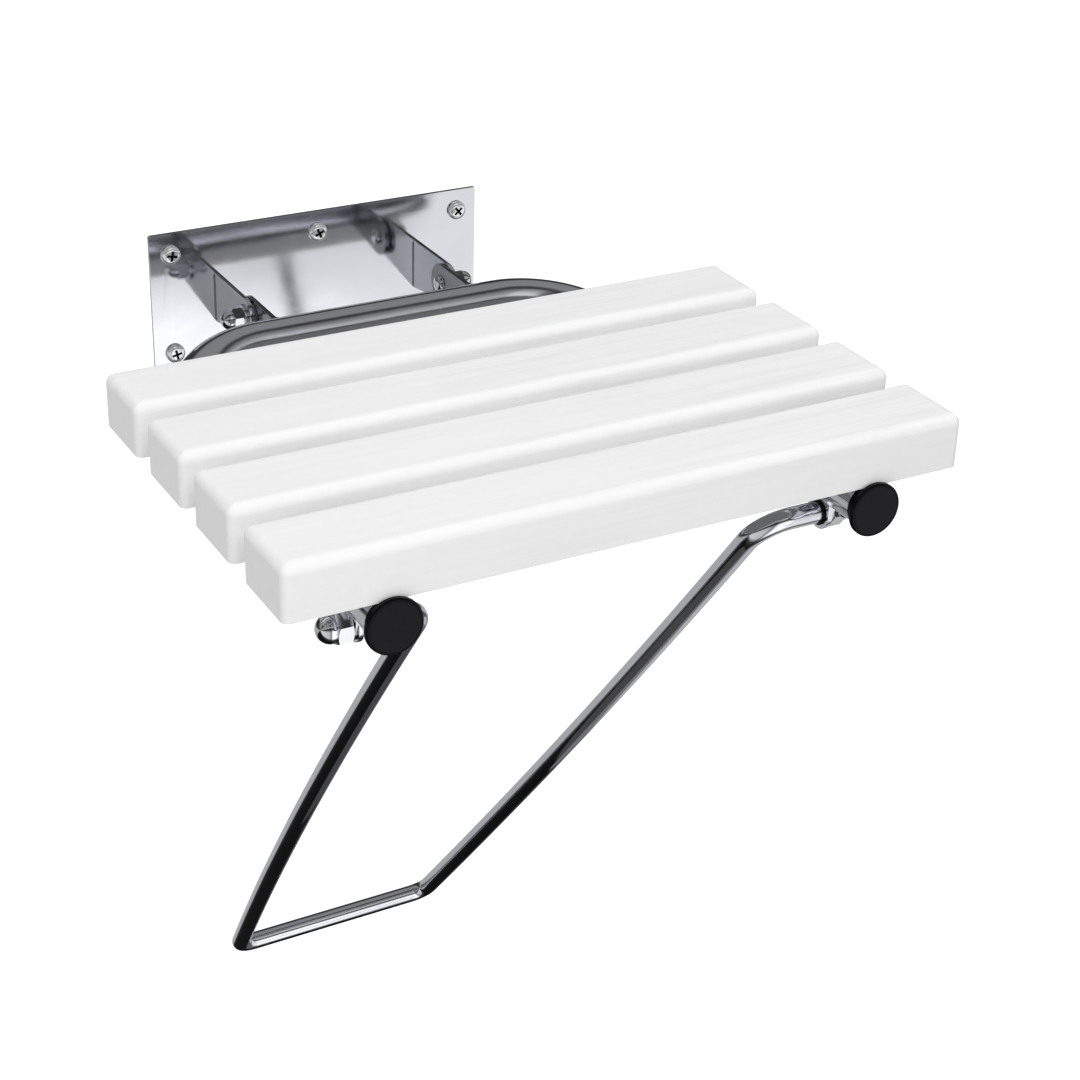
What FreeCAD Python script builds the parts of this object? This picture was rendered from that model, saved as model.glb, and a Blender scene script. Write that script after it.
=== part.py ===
import FreeCAD, Part
import math
import os
import Sketcher

V = FreeCAD.Vector
doc = FreeCAD.newDocument("fold_down_wall_seat")

# ---------------------------------------------------------------------------
# Driving sizes, in millimetres and degrees.
# Frame: +X along the slats to the right, +Y toward the wall, +Z up.
# The origin is the centre of the wall plate's back face, which lies on the wall.
# ---------------------------------------------------------------------------
SIZES = [
    ("plate_wide", 228.0, "wall plate, along the wall"),
    ("plate_high", 95.0, "wall plate, upright"),
    ("plate_thick", 2.0, "wall plate, sheet"),
    ("plate_corner", 1.5, "wall plate, corner radius"),
    ("screw_half", 100.0, "wall screws, half the distance from left to right"),
    ("screw_row", 33.25, "wall screws, half the distance from row to row"),
    ("screw_shank", 2.75, "wall screw, shank radius"),
    ("screw_neck", 2.5, "wall screw, neck radius through the plate"),
    ("screw_head", 6.2, "wall screw, head radius"),
    ("screw_head_high", 3.6, "wall screw, head height"),
    ("screw_long", 35.0, "wall screw, length behind the plate"),
    ("hinge_back", 50.0, "hinge axis, distance from the wall"),
    ("hinge_up", 4.0, "hinge axis, height over the plate's centre"),
    ("lug_in", 68.5, "wall lugs, distance of the inner faces from the middle"),
    ("lug_thick", 3.0, "wall lugs, sheet"),
    ("lug_nose", 13.0, "wall lugs, radius of the front end"),
    ("lug_low", -16.5, "wall lugs, height of the lower edge at the wall"),
    ("bolt_shank", 4.0, "hinge bolt, shank radius"),
    ("bolt_head", 5.4, "hinge bolt, head radius"),
    ("bolt_head_high", 3.2, "hinge bolt, head height"),
    ("washer_rim", 8.5, "hinge washer, rim radius"),
    ("washer_thick", 1.6, "hinge washer, thickness"),
    ("hinge_nut_flats", 13.0, "hinge acorn nut, across flats"),
    ("hinge_nut_high", 6.5, "hinge acorn nut, height of the hexagon"),
    ("hinge_nut_dome", 6.0, "hinge acorn nut, radius of the dome"),
    ("leg_nut_flats", 17.0, "leg acorn nut, across flats"),
    ("leg_nut_high", 9.0, "leg acorn nut, height of the hexagon"),
    ("leg_nut_dome", 8.0, "leg acorn nut, radius of the dome"),
    ("tab_out", 67.5, "frame tabs, distance of the outer faces from the middle"),
    ("tab_thick", 3.0, "frame tabs, sheet"),
    ("bush_bore", 4.05, "hinge bush, bore radius"),
    ("bush_out", 5.2, "hinge bush, radius in the frame tab"),
    ("bush_rim", 8.0, "hinge bush, flange radius"),
    ("bush_flange", 0.9, "hinge bush, flange thickness"),
    ("tube_rad", 12.5, "frame tube, outer radius"),
    ("tube_wall", 1.5, "frame tube, wall thickness"),
    ("tube_side", 143.3, "side tubes, distance from the middle"),
    ("tube_drop", -6.9, "side tubes, height of the centre line"),
    ("tube_front", 411.0, "side tubes, distance of the front ends from the wall"),
    ("crank_start", 165.0, "crank of the side tubes, start, distance from the wall"),
    ("crank_bend", 30.0, "crank of the side tubes, bend radius"),
    ("crank_angle", 12.0, "crank of the back of the frame, upward angle"),
    ("corner_bend", 64.0, "frame corners, bend radius"),
    ("slat_long", 400.0, "slats, length"),
    ("slat_wide", 50.4, "slats, width"),
    ("slat_high", 31.8, "slats, thickness"),
    ("slat_pitch", 66.8, "slats, from one to the next"),
    ("slat_front", 415.5, "front slat, distance of the front face from the wall"),
    ("slat_base", 5.6, "slats, height of the underside"),
    ("slat_wall", 3.5, "slats, thickness of the moulded walls"),
    ("slat_roof", 4.0, "slats, thickness under the top face"),
    ("slat_edge", 6.0, "slats, radius of the upper edges"),
    ("slat_corner", 3.0, "slats, radius of the upright edges"),
    ("fix_shift", 4.2, "slat screws, offset toward the front from each slat's centre"),
    ("fix_shank", 2.1, "slat screw, shank radius"),
    ("fix_head", 4.2, "slat screw, head radius"),
    ("fix_depth", 16.0, "slat screw, length in the slat"),
    ("cap_rim", 15.8, "end cap, rim radius"),
    ("cap_front", 420.0, "end cap, distance of the face from the wall"),
    ("pivot_back", 370.5, "leg pivots, distance from the wall"),
    ("pivot_down", -30.1, "leg pivots, height"),
    ("ear_in", 141.8, "leg tabs, distance of the inner faces from the middle"),
    ("ear_thick", 3.0, "leg tabs, sheet"),
    ("ear_nose", 10.0, "leg tabs, radius of the lower end"),
    ("ear_hole", 5.05, "leg tabs, hole radius"),
    ("rod_rad", 6.35, "support leg, rod radius"),
    ("rod_stud", 5.0, "support leg, radius of the threaded ends"),
    ("rod_shoulder", 140.8, "support leg, distance of the shoulders from the middle"),
    ("leg_top", 103.0, "support leg, half width below the upper bends"),
    ("leg_foot", 75.8, "support leg, half width at the crossbar"),
    ("foot_back", 6.35, "crossbar, distance of its centre line from the wall"),
    ("foot_down", -510.8, "crossbar, height of its centre line"),
    ("elbow_bend", 20.0, "support leg, upper bend radius"),
    ("foot_bend", 13.0, "support leg, lower bend radius"),
    ("stop_thick", 1.5, "stop washer, sheet"),
    ("stop_rim", 8.5, "stop washer, rim radius"),
]

sheet = doc.addObject("Spreadsheet::Sheet", "Sizes")
P = {}
for row, (alias, value, words) in enumerate(SIZES, start=1):
    sheet.set("A%d" % row, words)
    sheet.set("B%d" % row, repr(value))
    sheet.setAlias("B%d" % row, alias)
    P[alias] = value
doc.recompute()
for alias in P:
    assert abs(float(sheet.get(alias)) - P[alias]) < 1e-9, alias

KEPT = []
LABELS = []


def keep(thing, label):
    thing.Label = label
    KEPT.append(thing)
    LABELS.append(label)
    return thing


def body(label, many=False):
    made = doc.addObject("PartDesign::Body", label)
    made.Label = label
    if many:
        made.AllowCompound = True
    return made


def origin(of, role):
    for feature in of.Origin.OriginFeatures:
        if feature.Role == role:
            return feature
    raise ValueError(role)


def sketch(of, name, role, lift=0.0, lift_by=None):
    """A sketch on one of the body's own origin planes, lifted along the plane's normal."""
    made = of.newObject("Sketcher::SketchObject", name)
    made.AttachmentSupport = [(origin(of, role), "")]
    made.MapMode = "FlatFace"
    made.AttachmentOffset = FreeCAD.Placement(V(0, 0, lift), FreeCAD.Rotation())
    if lift_by:
        made.setExpression("AttachmentOffset.Base.z", lift_by)
    return made


def pair(label, pieces):
    """The same piece on the left and on the right, as one group of solids."""
    made = doc.addObject("Part::Compound", label)
    made.Links = pieces
    doc.recompute()
    return keep(made, label)


def line(sk, a, b):
    return sk.addGeometry(Part.LineSegment(V(a[0], a[1], 0), V(b[0], b[1], 0)), False)


def polygon(sk, points):
    """A closed outline of straight edges with its corners joined."""
    ids = [line(sk, points[i], points[(i + 1) % len(points)]) for i in range(len(points))]
    for i in range(len(ids)):
        sk.addConstraint(Sketcher.Constraint("Coincident", ids[i], 2, ids[(i + 1) % len(ids)], 1))
    return ids


def circle(sk, x, y, r, x_by=None, y_by=None, r_by=None):
    """A circle whose radius and centre can each be bound to a cell. A bound distance is never negative: the sign is in the way it is measured."""
    i = sk.addGeometry(Part.Circle(V(x, y, 0), V(0, 0, 1), r), False)
    c = sk.addConstraint(Sketcher.Constraint("Radius", i, r))
    if r_by:
        sk.setExpression("Constraints[%d]" % c, r_by)
    if abs(x) > 1e-9:
        c = sk.addConstraint(Sketcher.Constraint("DistanceX", -1, 1, i, 3, x))
        if x_by:
            sk.setExpression("Constraints[%d]" % c, x_by)
    else:
        sk.addConstraint(Sketcher.Constraint("PointOnObject", i, 3, -2))
    if abs(y) > 1e-9:
        c = sk.addConstraint(Sketcher.Constraint("DistanceY", -1, 1, i, 3, y))
        if y_by:
            sk.setExpression("Constraints[%d]" % c, y_by)
    else:
        sk.addConstraint(Sketcher.Constraint("PointOnObject", i, 3, -1))
    return i


def box_outline(sk, x0, x1, y0, y1, bind=None):
    """A rectangle, optionally with its four sides bound: bind gives the expressions of x0, x1, y0 and y1."""
    a = line(sk, (x0, y0), (x1, y0))
    b = line(sk, (x1, y0), (x1, y1))
    c = line(sk, (x1, y1), (x0, y1))
    d = line(sk, (x0, y1), (x0, y0))
    ids = [a, b, c, d]
    for i in range(4):
        sk.addConstraint(Sketcher.Constraint("Coincident", ids[i], 2, ids[(i + 1) % 4], 1))
    sk.addConstraint(Sketcher.Constraint("Horizontal", a))
    sk.addConstraint(Sketcher.Constraint("Vertical", b))
    sk.addConstraint(Sketcher.Constraint("Horizontal", c))
    sk.addConstraint(Sketcher.Constraint("Vertical", d))
    places = [
        ("DistanceX", a, 1, x0),
        ("DistanceX", a, 2, x1),
        ("DistanceY", a, 1, y0),
        ("DistanceY", c, 1, y1),
    ]
    for k, (kind, edge, end, value) in enumerate(places):
        if abs(value) < 1e-9:
            sk.addConstraint(Sketcher.Constraint("PointOnObject", edge, end, -2 if kind == "DistanceX" else -1))
            continue
        n = sk.addConstraint(Sketcher.Constraint(kind, -1, 1, edge, end, value))
        if bind and bind[k]:
            sk.setExpression("Constraints[%d]" % n, bind[k])
    return ids


def pad(of, name, sk, length, length_by=None, back=False, both=False):
    made = of.newObject("PartDesign::Pad", name)
    made.Profile = sk
    made.Length = length
    if length_by:
        made.setExpression("Length", length_by)
    made.Reversed = back
    if both:
        made.SideType = "Symmetric"
    doc.recompute()
    return made


def pocket(of, name, sk, length=None, length_by=None, back=False, both=False, off=None):
    """A cut; off is the least volume in mm3 that it must take away."""
    before = of.Shape.Volume
    made = of.newObject("PartDesign::Pocket", name)
    made.Profile = sk
    if length is None:
        made.Type = "ThroughAll"
    else:
        made.Length = length
        if length_by:
            made.setExpression("Length", length_by)
    made.Reversed = back
    if both:
        made.SideType = "Symmetric"
    doc.recompute()
    taken = before - of.Shape.Volume
    if taken < (off or 0.5):
        raise RuntimeError("%s of %s takes only %.2f mm3" % (name, of.Label, taken))
    return made


def revolve(of, name, sk, axis):
    made = of.newObject("PartDesign::Revolution", name)
    made.Profile = sk
    made.ReferenceAxis = (sk, [axis])
    made.Angle = 360.0
    doc.recompute()
    return made


def edges_along(shape, direction, accept=None):
    """Names of the straight edges that lie along a direction."""
    names = []
    for n, edge in enumerate(shape.Edges, start=1):
        if edge.Curve.TypeId != "Part::GeomLine":
            continue
        d = edge.Vertexes[1].Point.sub(edge.Vertexes[0].Point)
        if d.Length < 1e-6:
            continue
        d.normalize()
        if abs(abs(d.dot(direction)) - 1) < 1e-6 and (accept is None or accept(edge)):
            names.append("Edge%d" % n)
    return names


def fillet(of, name, base, names, radius, radius_by=None):
    if not names:
        raise RuntimeError("%s: no edges" % name)
    made = of.newObject("PartDesign::Fillet", name)
    made.Base = (base, names)
    made.Radius = radius
    if radius_by:
        made.setExpression("Radius", radius_by)
    doc.recompute()
    return made


def chamfer(of, name, base, names, size):
    made = of.newObject("PartDesign::Chamfer", name)
    made.Base = (base, names)
    made.Size = size
    doc.recompute()
    return made


def place(of, x=0.0, y=0.0, z=0.0, axis=(0, 0, 1), angle=0.0):
    of.Placement = FreeCAD.Placement(V(x, y, z), FreeCAD.Rotation(V(*axis), angle))


# ---------------------------------------------------------------------------
# Wall plate: a flat sheet with rounded corners and six holes for the screws.
# ---------------------------------------------------------------------------
wall_plate = body("wall_plate")
sk = sketch(wall_plate, "wall_plate_outline", "XZ_Plane")
box_outline(
    sk, -P["plate_wide"] / 2, P["plate_wide"] / 2, -P["plate_high"] / 2, P["plate_high"] / 2,
    ["-Sizes.plate_wide / 2", "Sizes.plate_wide / 2", "-Sizes.plate_high / 2", "Sizes.plate_high / 2"],
)
sheet_pad = pad(wall_plate, "wall_plate_pad", sk, P["plate_thick"], "Sizes.plate_thick")
rounded = fillet(
    wall_plate, "wall_plate_corners", sheet_pad,
    edges_along(sheet_pad.Shape, V(0, 1, 0)), P["plate_corner"], "Sizes.plate_corner",
)
front_edges = [
    "Edge%d" % n for n, e in enumerate(rounded.Shape.Edges, start=1)
    if all(abs(v.Point.y + P["plate_thick"]) < 1e-6 for v in e.Vertexes)
]
chamfer(wall_plate, "wall_plate_edge", rounded, front_edges, 0.3)
sk = sketch(wall_plate, "wall_plate_holes", "XZ_Plane")
for up in (-1, 1):
    circle(
        sk, -P["screw_half"], up * P["screw_row"], P["screw_shank"],
        "-Sizes.screw_half", ("" if up > 0 else "-") + "Sizes.screw_row", "Sizes.screw_shank",
    )
hole = pocket(wall_plate, "wall_plate_drilling", sk, both=True, off=60)
row = wall_plate.newObject("PartDesign::LinearPattern", "wall_plate_hole_row")
row.Originals = [hole]
row.Direction = (origin(wall_plate, "X_Axis"), [""])
row.Length = 2 * P["screw_half"]
row.setExpression("Length", "2 * Sizes.screw_half")
row.Occurrences = 3
wall_plate.Tip = row
doc.recompute()
keep(wall_plate, "wall_plate")

# ---------------------------------------------------------------------------
# Wall lugs: upright plates square to the wall plate. The top edge runs level to
# a round front end about the hinge axis; the lower edge rises to meet it.
# ---------------------------------------------------------------------------
hy, hz = -P["hinge_back"], P["hinge_up"]


def tangent_point(outside, centre, radius, side):
    """Where a line from a point outside a circle touches the circle."""
    dx, dy = outside[0] - centre[0], outside[1] - centre[1]
    d = math.hypot(dx, dy)
    base = math.atan2(dy, dx)
    swing = math.acos(radius / d)
    return (
        centre[0] + radius * math.cos(base + side * swing),
        centre[1] + radius * math.sin(base + side * swing),
    )


def lug_profile(sk):
    r = P["lug_nose"]
    wall = -P["plate_thick"]
    top = (hy, hz + r)
    low = (wall, P["lug_low"])
    touch = min(
        (tangent_point(low, (hy, hz), r, s) for s in (-1, 1)), key=lambda p: p[1]
    )
    a = line(sk, (wall, hz + r), top)
    start = math.atan2(top[1] - hz, top[0] - hy)
    end = math.atan2(touch[1] - hz, touch[0] - hy)
    if end < start:
        end += 2 * math.pi
    arc = sk.addGeometry(
        Part.ArcOfCircle(Part.Circle(V(hy, hz, 0), V(0, 0, 1), r), start, end), False
    )
    b = line(sk, touch, low)
    c = line(sk, low, (wall, hz + r))
    for one, two in (((b, 2), (c, 1)), ((c, 2), (a, 1))):
        sk.addConstraint(Sketcher.Constraint("Coincident", one[0], one[1], two[0], two[1]))
    sk.addConstraint(Sketcher.Constraint("Tangent", a, 2, arc, 1))
    sk.addConstraint(Sketcher.Constraint("Tangent", arc, 2, b, 1))
    sk.addConstraint(Sketcher.Constraint("Horizontal", a))
    sk.addConstraint(Sketcher.Constraint("Vertical", c))
    n = sk.addConstraint(Sketcher.Constraint("Radius", arc, r))
    sk.setExpression("Constraints[%d]" % n, "Sizes.lug_nose")
    n = sk.addConstraint(Sketcher.Constraint("DistanceX", -1, 1, arc, 3, hy))
    sk.setExpression("Constraints[%d]" % n, "-Sizes.hinge_back")
    n = sk.addConstraint(Sketcher.Constraint("DistanceY", -1, 1, arc, 3, hz))
    sk.setExpression("Constraints[%d]" % n, "Sizes.hinge_up")
    n = sk.addConstraint(Sketcher.Constraint("DistanceX", -1, 1, c, 1, wall))
    sk.setExpression("Constraints[%d]" % n, "-Sizes.plate_thick")
    n = sk.addConstraint(Sketcher.Constraint("DistanceY", -1, 1, c, 1, low[1]))
    sk.setExpression("Constraints[%d]" % n, "Sizes.lug_low")


for side, name in ((-1, "wall_lug_left"), (1, "wall_lug_right")):
    lug = body(name)
    sk = sketch(lug, name + "_outline", "YZ_Plane")
    lug_profile(sk)
    plate = pad(lug, name + "_pad", sk, P["lug_thick"], "Sizes.lug_thick")
    sk = sketch(lug, name + "_hole", "YZ_Plane")
    circle(
        sk, hy, hz, P["bolt_shank"], "-Sizes.hinge_back", "Sizes.hinge_up", "Sizes.bolt_shank"
    )
    pocket(lug, name + "_drilling", sk, both=True, off=150)
    x = P["lug_in"] if side > 0 else -P["lug_in"] - P["lug_thick"]
    place(lug, x=x)
    lug.setExpression(
        "Placement.Base.x", "Sizes.lug_in" if side > 0 else "-Sizes.lug_in - Sizes.lug_thick"
    )
    keep(lug, name)

# ---------------------------------------------------------------------------
# Wall screws: pan heads with a cross recess on the front of the plate, shanks
# through the plate into the wall. One screw is turned, then repeated six times.
# ---------------------------------------------------------------------------
wall_screws = body("wall_screws", many=True)
r, rh, hh, back = P["screw_shank"], P["screw_head"], P["screw_head_high"], P["screw_long"]
face = -P["plate_thick"]
sk = sketch(wall_screws, "wall_screw_profile", "XY_Plane")
rim = 1.5
# x is the radius and y runs along the shank; the head's edge is an arc
pts = [(0, face - hh), (rh - 3.2, face - hh)]
mid = (rh - 0.75, face - rim - (hh - rim) * 0.62)
a = line(sk, pts[0], pts[1])
arc = sk.addGeometry(
    Part.Arc(V(pts[1][0], pts[1][1], 0), V(mid[0], mid[1], 0), V(rh, face - rim, 0)), False
)
b = line(sk, (rh, face - rim), (rh, face))
c = line(sk, (rh, face), (P["screw_neck"], face))
n = line(sk, (P["screw_neck"], face), (P["screw_neck"], 0))
s = line(sk, (P["screw_neck"], 0), (r, 0))
d = line(sk, (r, 0), (r, back - 7))
e = line(sk, (r, back - 7), (0, back))
f = line(sk, (0, back), pts[0])
chain = [(a, 1, 2), (arc, 1, 2), (b, 1, 2), (c, 1, 2), (d, 1, 2), (e, 1, 2), (f, 1, 2)]
ends = {g: (1, 2) for g in (a, b, c, n, s, d, e, f)}
# the arc runs counter-clockwise, so find which of its ends meets the flat top
arc_start = sk.getPoint(arc, 1)
ends[arc] = (1, 2) if arc_start.distanceToPoint(V(pts[1][0], pts[1][1], 0)) < 1e-6 else (2, 1)
order = [a, arc, b, c, n, s, d, e, f]
for i, g in enumerate(order):
    nxt = order[(i + 1) % len(order)]
    sk.addConstraint(Sketcher.Constraint("Coincident", g, ends[g][1], nxt, ends[nxt][0]))
head = revolve(wall_screws, "wall_screw_turning", sk, "V_Axis")
# cross recess
sk = sketch(wall_screws, "wall_screw_recess", "XZ_Plane", lift=-face + hh)
w, reach = 0.75, 3.3
cross = [
    (-reach, -w), (-w, -w), (-w, -reach), (w, -reach), (w, -w), (reach, -w),
    (reach, w), (w, w), (w, reach), (-w, reach), (-w, w), (-reach, w),
]
polygon(sk, cross)
recess = pocket(wall_screws, "wall_screw_cross", sk, 2.2, off=10)
recess.TaperAngle = -12.0
doc.recompute()
place(wall_screws, x=-P["screw_half"], z=-P["screw_row"])
grid = wall_screws.newObject("PartDesign::LinearPattern", "wall_screw_grid")
grid.TransformMode = "Whole shape" if "Whole shape" in grid.getEnumerationsOfProperty("TransformMode") else grid.TransformMode
grid.Direction = (origin(wall_screws, "X_Axis"), [""])
grid.Length = 2 * P["screw_half"]
grid.Occurrences = 3
grid.Direction2 = (origin(wall_screws, "Z_Axis"), [""])
grid.Length2 = 2 * P["screw_row"]
grid.Occurrences2 = 2
grid.setExpression("Length", "2 * Sizes.screw_half")
grid.setExpression("Length2", "2 * Sizes.screw_row")
wall_screws.Tip = grid
doc.recompute()
keep(wall_screws, "wall_screws")


# ---------------------------------------------------------------------------
# Hinge hardware, each piece turned about its own X axis and then set on the
# hinge axis; the left hand piece is the same one turned end for end.
# ---------------------------------------------------------------------------
def closed_profile(sk, points):
    return polygon(sk, points)


nut_seat = P["lug_in"] + P["lug_thick"] + P["washer_thick"]
stud_end = nut_seat + P["hinge_nut_high"] + 2.5


def hinge_bolt(name, side):
    made = body(name)
    sk = sketch(made, name + "_profile", "XY_Plane")
    start = P["tab_out"] - P["tab_thick"] - 0.2
    hr, hh = P["bolt_head"], P["bolt_head_high"]
    a = (start - hh, 0)
    b = (start - hh, hr * 0.42)
    c = (start - 1.2, hr)
    mid = (start - hh * 0.80, hr * 0.84)
    ids = []
    ids.append(line(sk, a, b))
    arc = sk.addGeometry(Part.Arc(V(b[0], b[1], 0), V(mid[0], mid[1], 0), V(c[0], c[1], 0)), False)
    ids.append(arc)
    ids.append(line(sk, c, (start, hr)))
    ids.append(line(sk, (start, hr), (start, P["bolt_shank"])))
    ids.append(line(sk, (start, P["bolt_shank"]), (stud_end - 1, P["bolt_shank"])))
    ids.append(line(sk, (stud_end - 1, P["bolt_shank"]), (stud_end, P["bolt_shank"] - 1)))
    ids.append(line(sk, (stud_end, P["bolt_shank"] - 1), (stud_end, 0)))
    ids.append(line(sk, (stud_end, 0), a))
    where = {g: (1, 2) for g in ids}
    if sk.getPoint(arc, 1).distanceToPoint(V(b[0], b[1], 0)) > 1e-6:
        where[arc] = (2, 1)
    for i, g in enumerate(ids):
        nxt = ids[(i + 1) % len(ids)]
        sk.addConstraint(Sketcher.Constraint("Coincident", g, where[g][1], nxt, where[nxt][0]))
    revolve(made, name + "_turning", sk, "H_Axis")
    place(made, y=hy, z=hz, angle=0 if side > 0 else 180)
    return made


def acorn_nut(name, side, seat, y, z, hole, depth, kind):
    """Hexagon with a chamfered rim and a dome, on the +X side of its seat, with a blind hole."""
    made = body(name)
    flats, high, rd = P[kind + "_flats"], P[kind + "_high"], P[kind + "_dome"]
    sk = sketch(made, name + "_hexagon", "YZ_Plane", lift=seat)
    rim = flats / math.sqrt(3)
    turn = math.radians(90 if side > 0 else 90)
    pts = [
        (rim * math.cos(turn + math.pi / 3 * k), rim * math.sin(turn + math.pi / 3 * k))
        for k in range(6)
    ]
    ids = polygon(sk, pts)
    for k in range(5):
        sk.addConstraint(Sketcher.Constraint("Equal", ids[k], ids[k + 1]))
    prism = pad(made, name + "_prism", sk, high, "Sizes.%s_high" % kind)
    # dome: a ring of the profile turned about the axis
    sk = sketch(made, name + "_dome", "XY_Plane")
    x0 = seat + high - 0.5
    x1 = seat + high + 1.0
    tip = x1 + rd
    one = line(sk, (x0, 0), (x0, rd))
    two = line(sk, (x0, rd), (x1, rd))
    arc = sk.addGeometry(Part.ArcOfCircle(Part.Circle(V(x1, 0, 0), V(0, 0, 1), rd), 0, math.pi / 2), False)
    four = line(sk, (tip, 0), (x0, 0))
    sk.addConstraint(Sketcher.Constraint("Coincident", one, 2, two, 1))
    sk.addConstraint(Sketcher.Constraint("Coincident", two, 2, arc, 2))
    sk.addConstraint(Sketcher.Constraint("Coincident", arc, 1, four, 1))
    sk.addConstraint(Sketcher.Constraint("Coincident", four, 2, one, 1))
    revolve(made, name + "_crown", sk, "H_Axis")
    # chamfer of the hexagon's corners on both faces
    for tag, xa, slope in (("seat", seat, 1), ("crown", seat + high, -1)):
        sk = sketch(made, name + "_%s_cone" % tag, "XY_Plane")
        r0 = flats / 2 * 0.985
        r1 = rim + 1.0
        polygon(sk, [(xa, r0), (xa + slope * (r1 - r0) * 0.577, r1), (xa - slope * 0.6, r1), (xa - slope * 0.6, r0)])
        groove = made.newObject("PartDesign::Groove", name + "_%s_chamfer" % tag)
        before = made.Shape.Volume
        groove.Profile = sk
        groove.ReferenceAxis = (sk, ["H_Axis"])
        groove.Angle = 360.0
        doc.recompute()
        if before - made.Shape.Volume < 0.5:
            raise RuntimeError(name + ": the chamfer cuts nothing")
    sk = sketch(made, name + "_bore", "YZ_Plane", lift=seat)
    circle(sk, 0, 0, hole)
    pocket(made, name + "_blind_hole", sk, depth, back=True, off=200)
    place(made, y=y, z=z, angle=0 if side > 0 else 180)
    return made


def ring(name, inner, outer, x0, x1, y, z, side, edge=0.0):
    """A flat ring about an axis along X, between two distances from the middle."""
    made = body(name)
    sk = sketch(made, name + "_profile", "XY_Plane")
    if edge:
        polygon(sk, [(x0, inner), (x0, outer - edge), (x0 + edge, outer), (x1 - edge, outer), (x1, outer - edge), (x1, inner)])
    else:
        box_outline(sk, x0, x1, inner, outer)
    revolve(made, name + "_turning", sk, "H_Axis")
    place(made, y=y, z=z, angle=0 if side > 0 else 180)
    return made


bolts, washers, nuts = [], [], []
for side, tag in ((-1, "left"), (1, "right")):
    bolts.append(hinge_bolt("hinge_bolt_" + tag, side))
    x0 = P["lug_in"] + P["lug_thick"]
    washers.append(
        ring("hinge_washer_" + tag, P["bolt_shank"], P["washer_rim"], x0, x0 + P["washer_thick"], hy, hz, side, 0.4)
    )
    nuts.append(
        acorn_nut("hinge_acorn_nut_" + tag, side, nut_seat, hy, hz, P["bolt_shank"], stud_end - nut_seat + 0.4, "hinge_nut")
    )
    # flanged bush: the sleeve sits in the frame tab, the flange between tab and lug
    name = "hinge_bush_" + tag
    bush = body(name)
    sk = sketch(bush, name + "_profile", "XY_Plane")
    x0, x1 = P["tab_out"] - P["tab_thick"], P["tab_out"]
    polygon(
        sk,
        [
            (x0, P["bush_bore"]), (x0, P["bush_out"]), (x1, P["bush_out"]), (x1, P["bush_rim"]),
            (x1 + P["bush_flange"], P["bush_rim"]), (x1 + P["bush_flange"], P["bush_bore"]),
        ],
    )
    revolve(bush, name + "_turning", sk, "H_Axis")
    place(bush, y=hy, z=hz, angle=0 if side > 0 else 180)
    keep(bush, name)
pair("hinge_bolts", bolts)
pair("hinge_washers", washers)
pair("hinge_acorn_nuts", nuts)

# ---------------------------------------------------------------------------
# Seat frame: one round tube. The side tubes run level under the slats, then the
# back of the U is cranked upward to the hinge. The centre line is straight runs
# joined by tangent arcs.
# ---------------------------------------------------------------------------
crank = math.radians(P["crank_angle"])
xs, zc = P["tube_side"], P["tube_drop"]
y_front, y_crank = -P["tube_front"], -P["crank_start"]
rb, rc = P["crank_bend"], P["corner_bend"]
y_bent = y_crank + rb * math.sin(crank)
z_bent = zc + rb * (1 - math.cos(crank))
slope = V(0, math.cos(crank), math.sin(crank))


def crank_point(x, angle):
    return V(x, y_crank + rb * math.sin(angle), zc + rb * (1 - math.cos(angle)))


def corner_point(side, angle):
    """Along the corner, from the side tube (0) to the back bar (90 degrees)."""
    across = side * (xs - rc + rc * math.cos(angle))
    along = rc * math.sin(angle)
    return V(across, y_bent, z_bent).add(slope * along)


BAR = corner_point(1, math.pi / 2)
bar_y, bar_z = BAR.y, BAR.z


def tube_path():
    edges = []
    for side in (-1, 1):
        run = Part.LineSegment(V(side * xs, y_front, zc), V(side * xs, y_crank, zc)).toShape()
        bend = Part.Arc(
            crank_point(side * xs, 0), crank_point(side * xs, crank / 2), crank_point(side * xs, crank)
        ).toShape()
        corner = Part.Arc(
            corner_point(side, 0), corner_point(side, math.pi / 4), corner_point(side, math.pi / 2)
        ).toShape()
        edges += [run, bend, corner]
    edges.append(
        Part.LineSegment(corner_point(-1, math.pi / 2), corner_point(1, math.pi / 2)).toShape()
    )
    return Part.Wire(Part.__sortEdges__(edges))


frame_line = doc.addObject("Part::Feature", "frame_centre_line")
frame_line.Shape = tube_path()
path_length = frame_line.Shape.Length


def tube_ring(name, radius, by):
    made = doc.addObject("Part::Circle", name)
    made.Radius = radius
    made.setExpression("Radius", by)
    made.Placement = FreeCAD.Placement(
        V(-xs, y_front, zc), FreeCAD.Rotation(V(0, 0, 1), V(0, 1, 0))
    )
    return made


outer_ring = tube_ring("frame_tube_outside", P["tube_rad"], "Sizes.tube_rad")
inner_ring = tube_ring("frame_tube_inside", P["tube_rad"] - P["tube_wall"], "Sizes.tube_rad - Sizes.tube_wall")
sweeps = []
for name, ring_line in (("frame_tube_solid", outer_ring), ("frame_tube_bore", inner_ring)):
    made = doc.addObject("Part::Sweep", name)
    made.Sections = [ring_line]
    made.Spine = (frame_line, ["Edge%d" % (k + 1) for k in range(len(frame_line.Shape.Edges))])
    made.Solid = True
    made.Frenet = False
    sweeps.append(made)
doc.recompute()
hollow = doc.addObject("Part::Cut", "frame_tube_hollow")
hollow.Base = sweeps[0]
hollow.Tool = sweeps[1]
doc.recompute()

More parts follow.
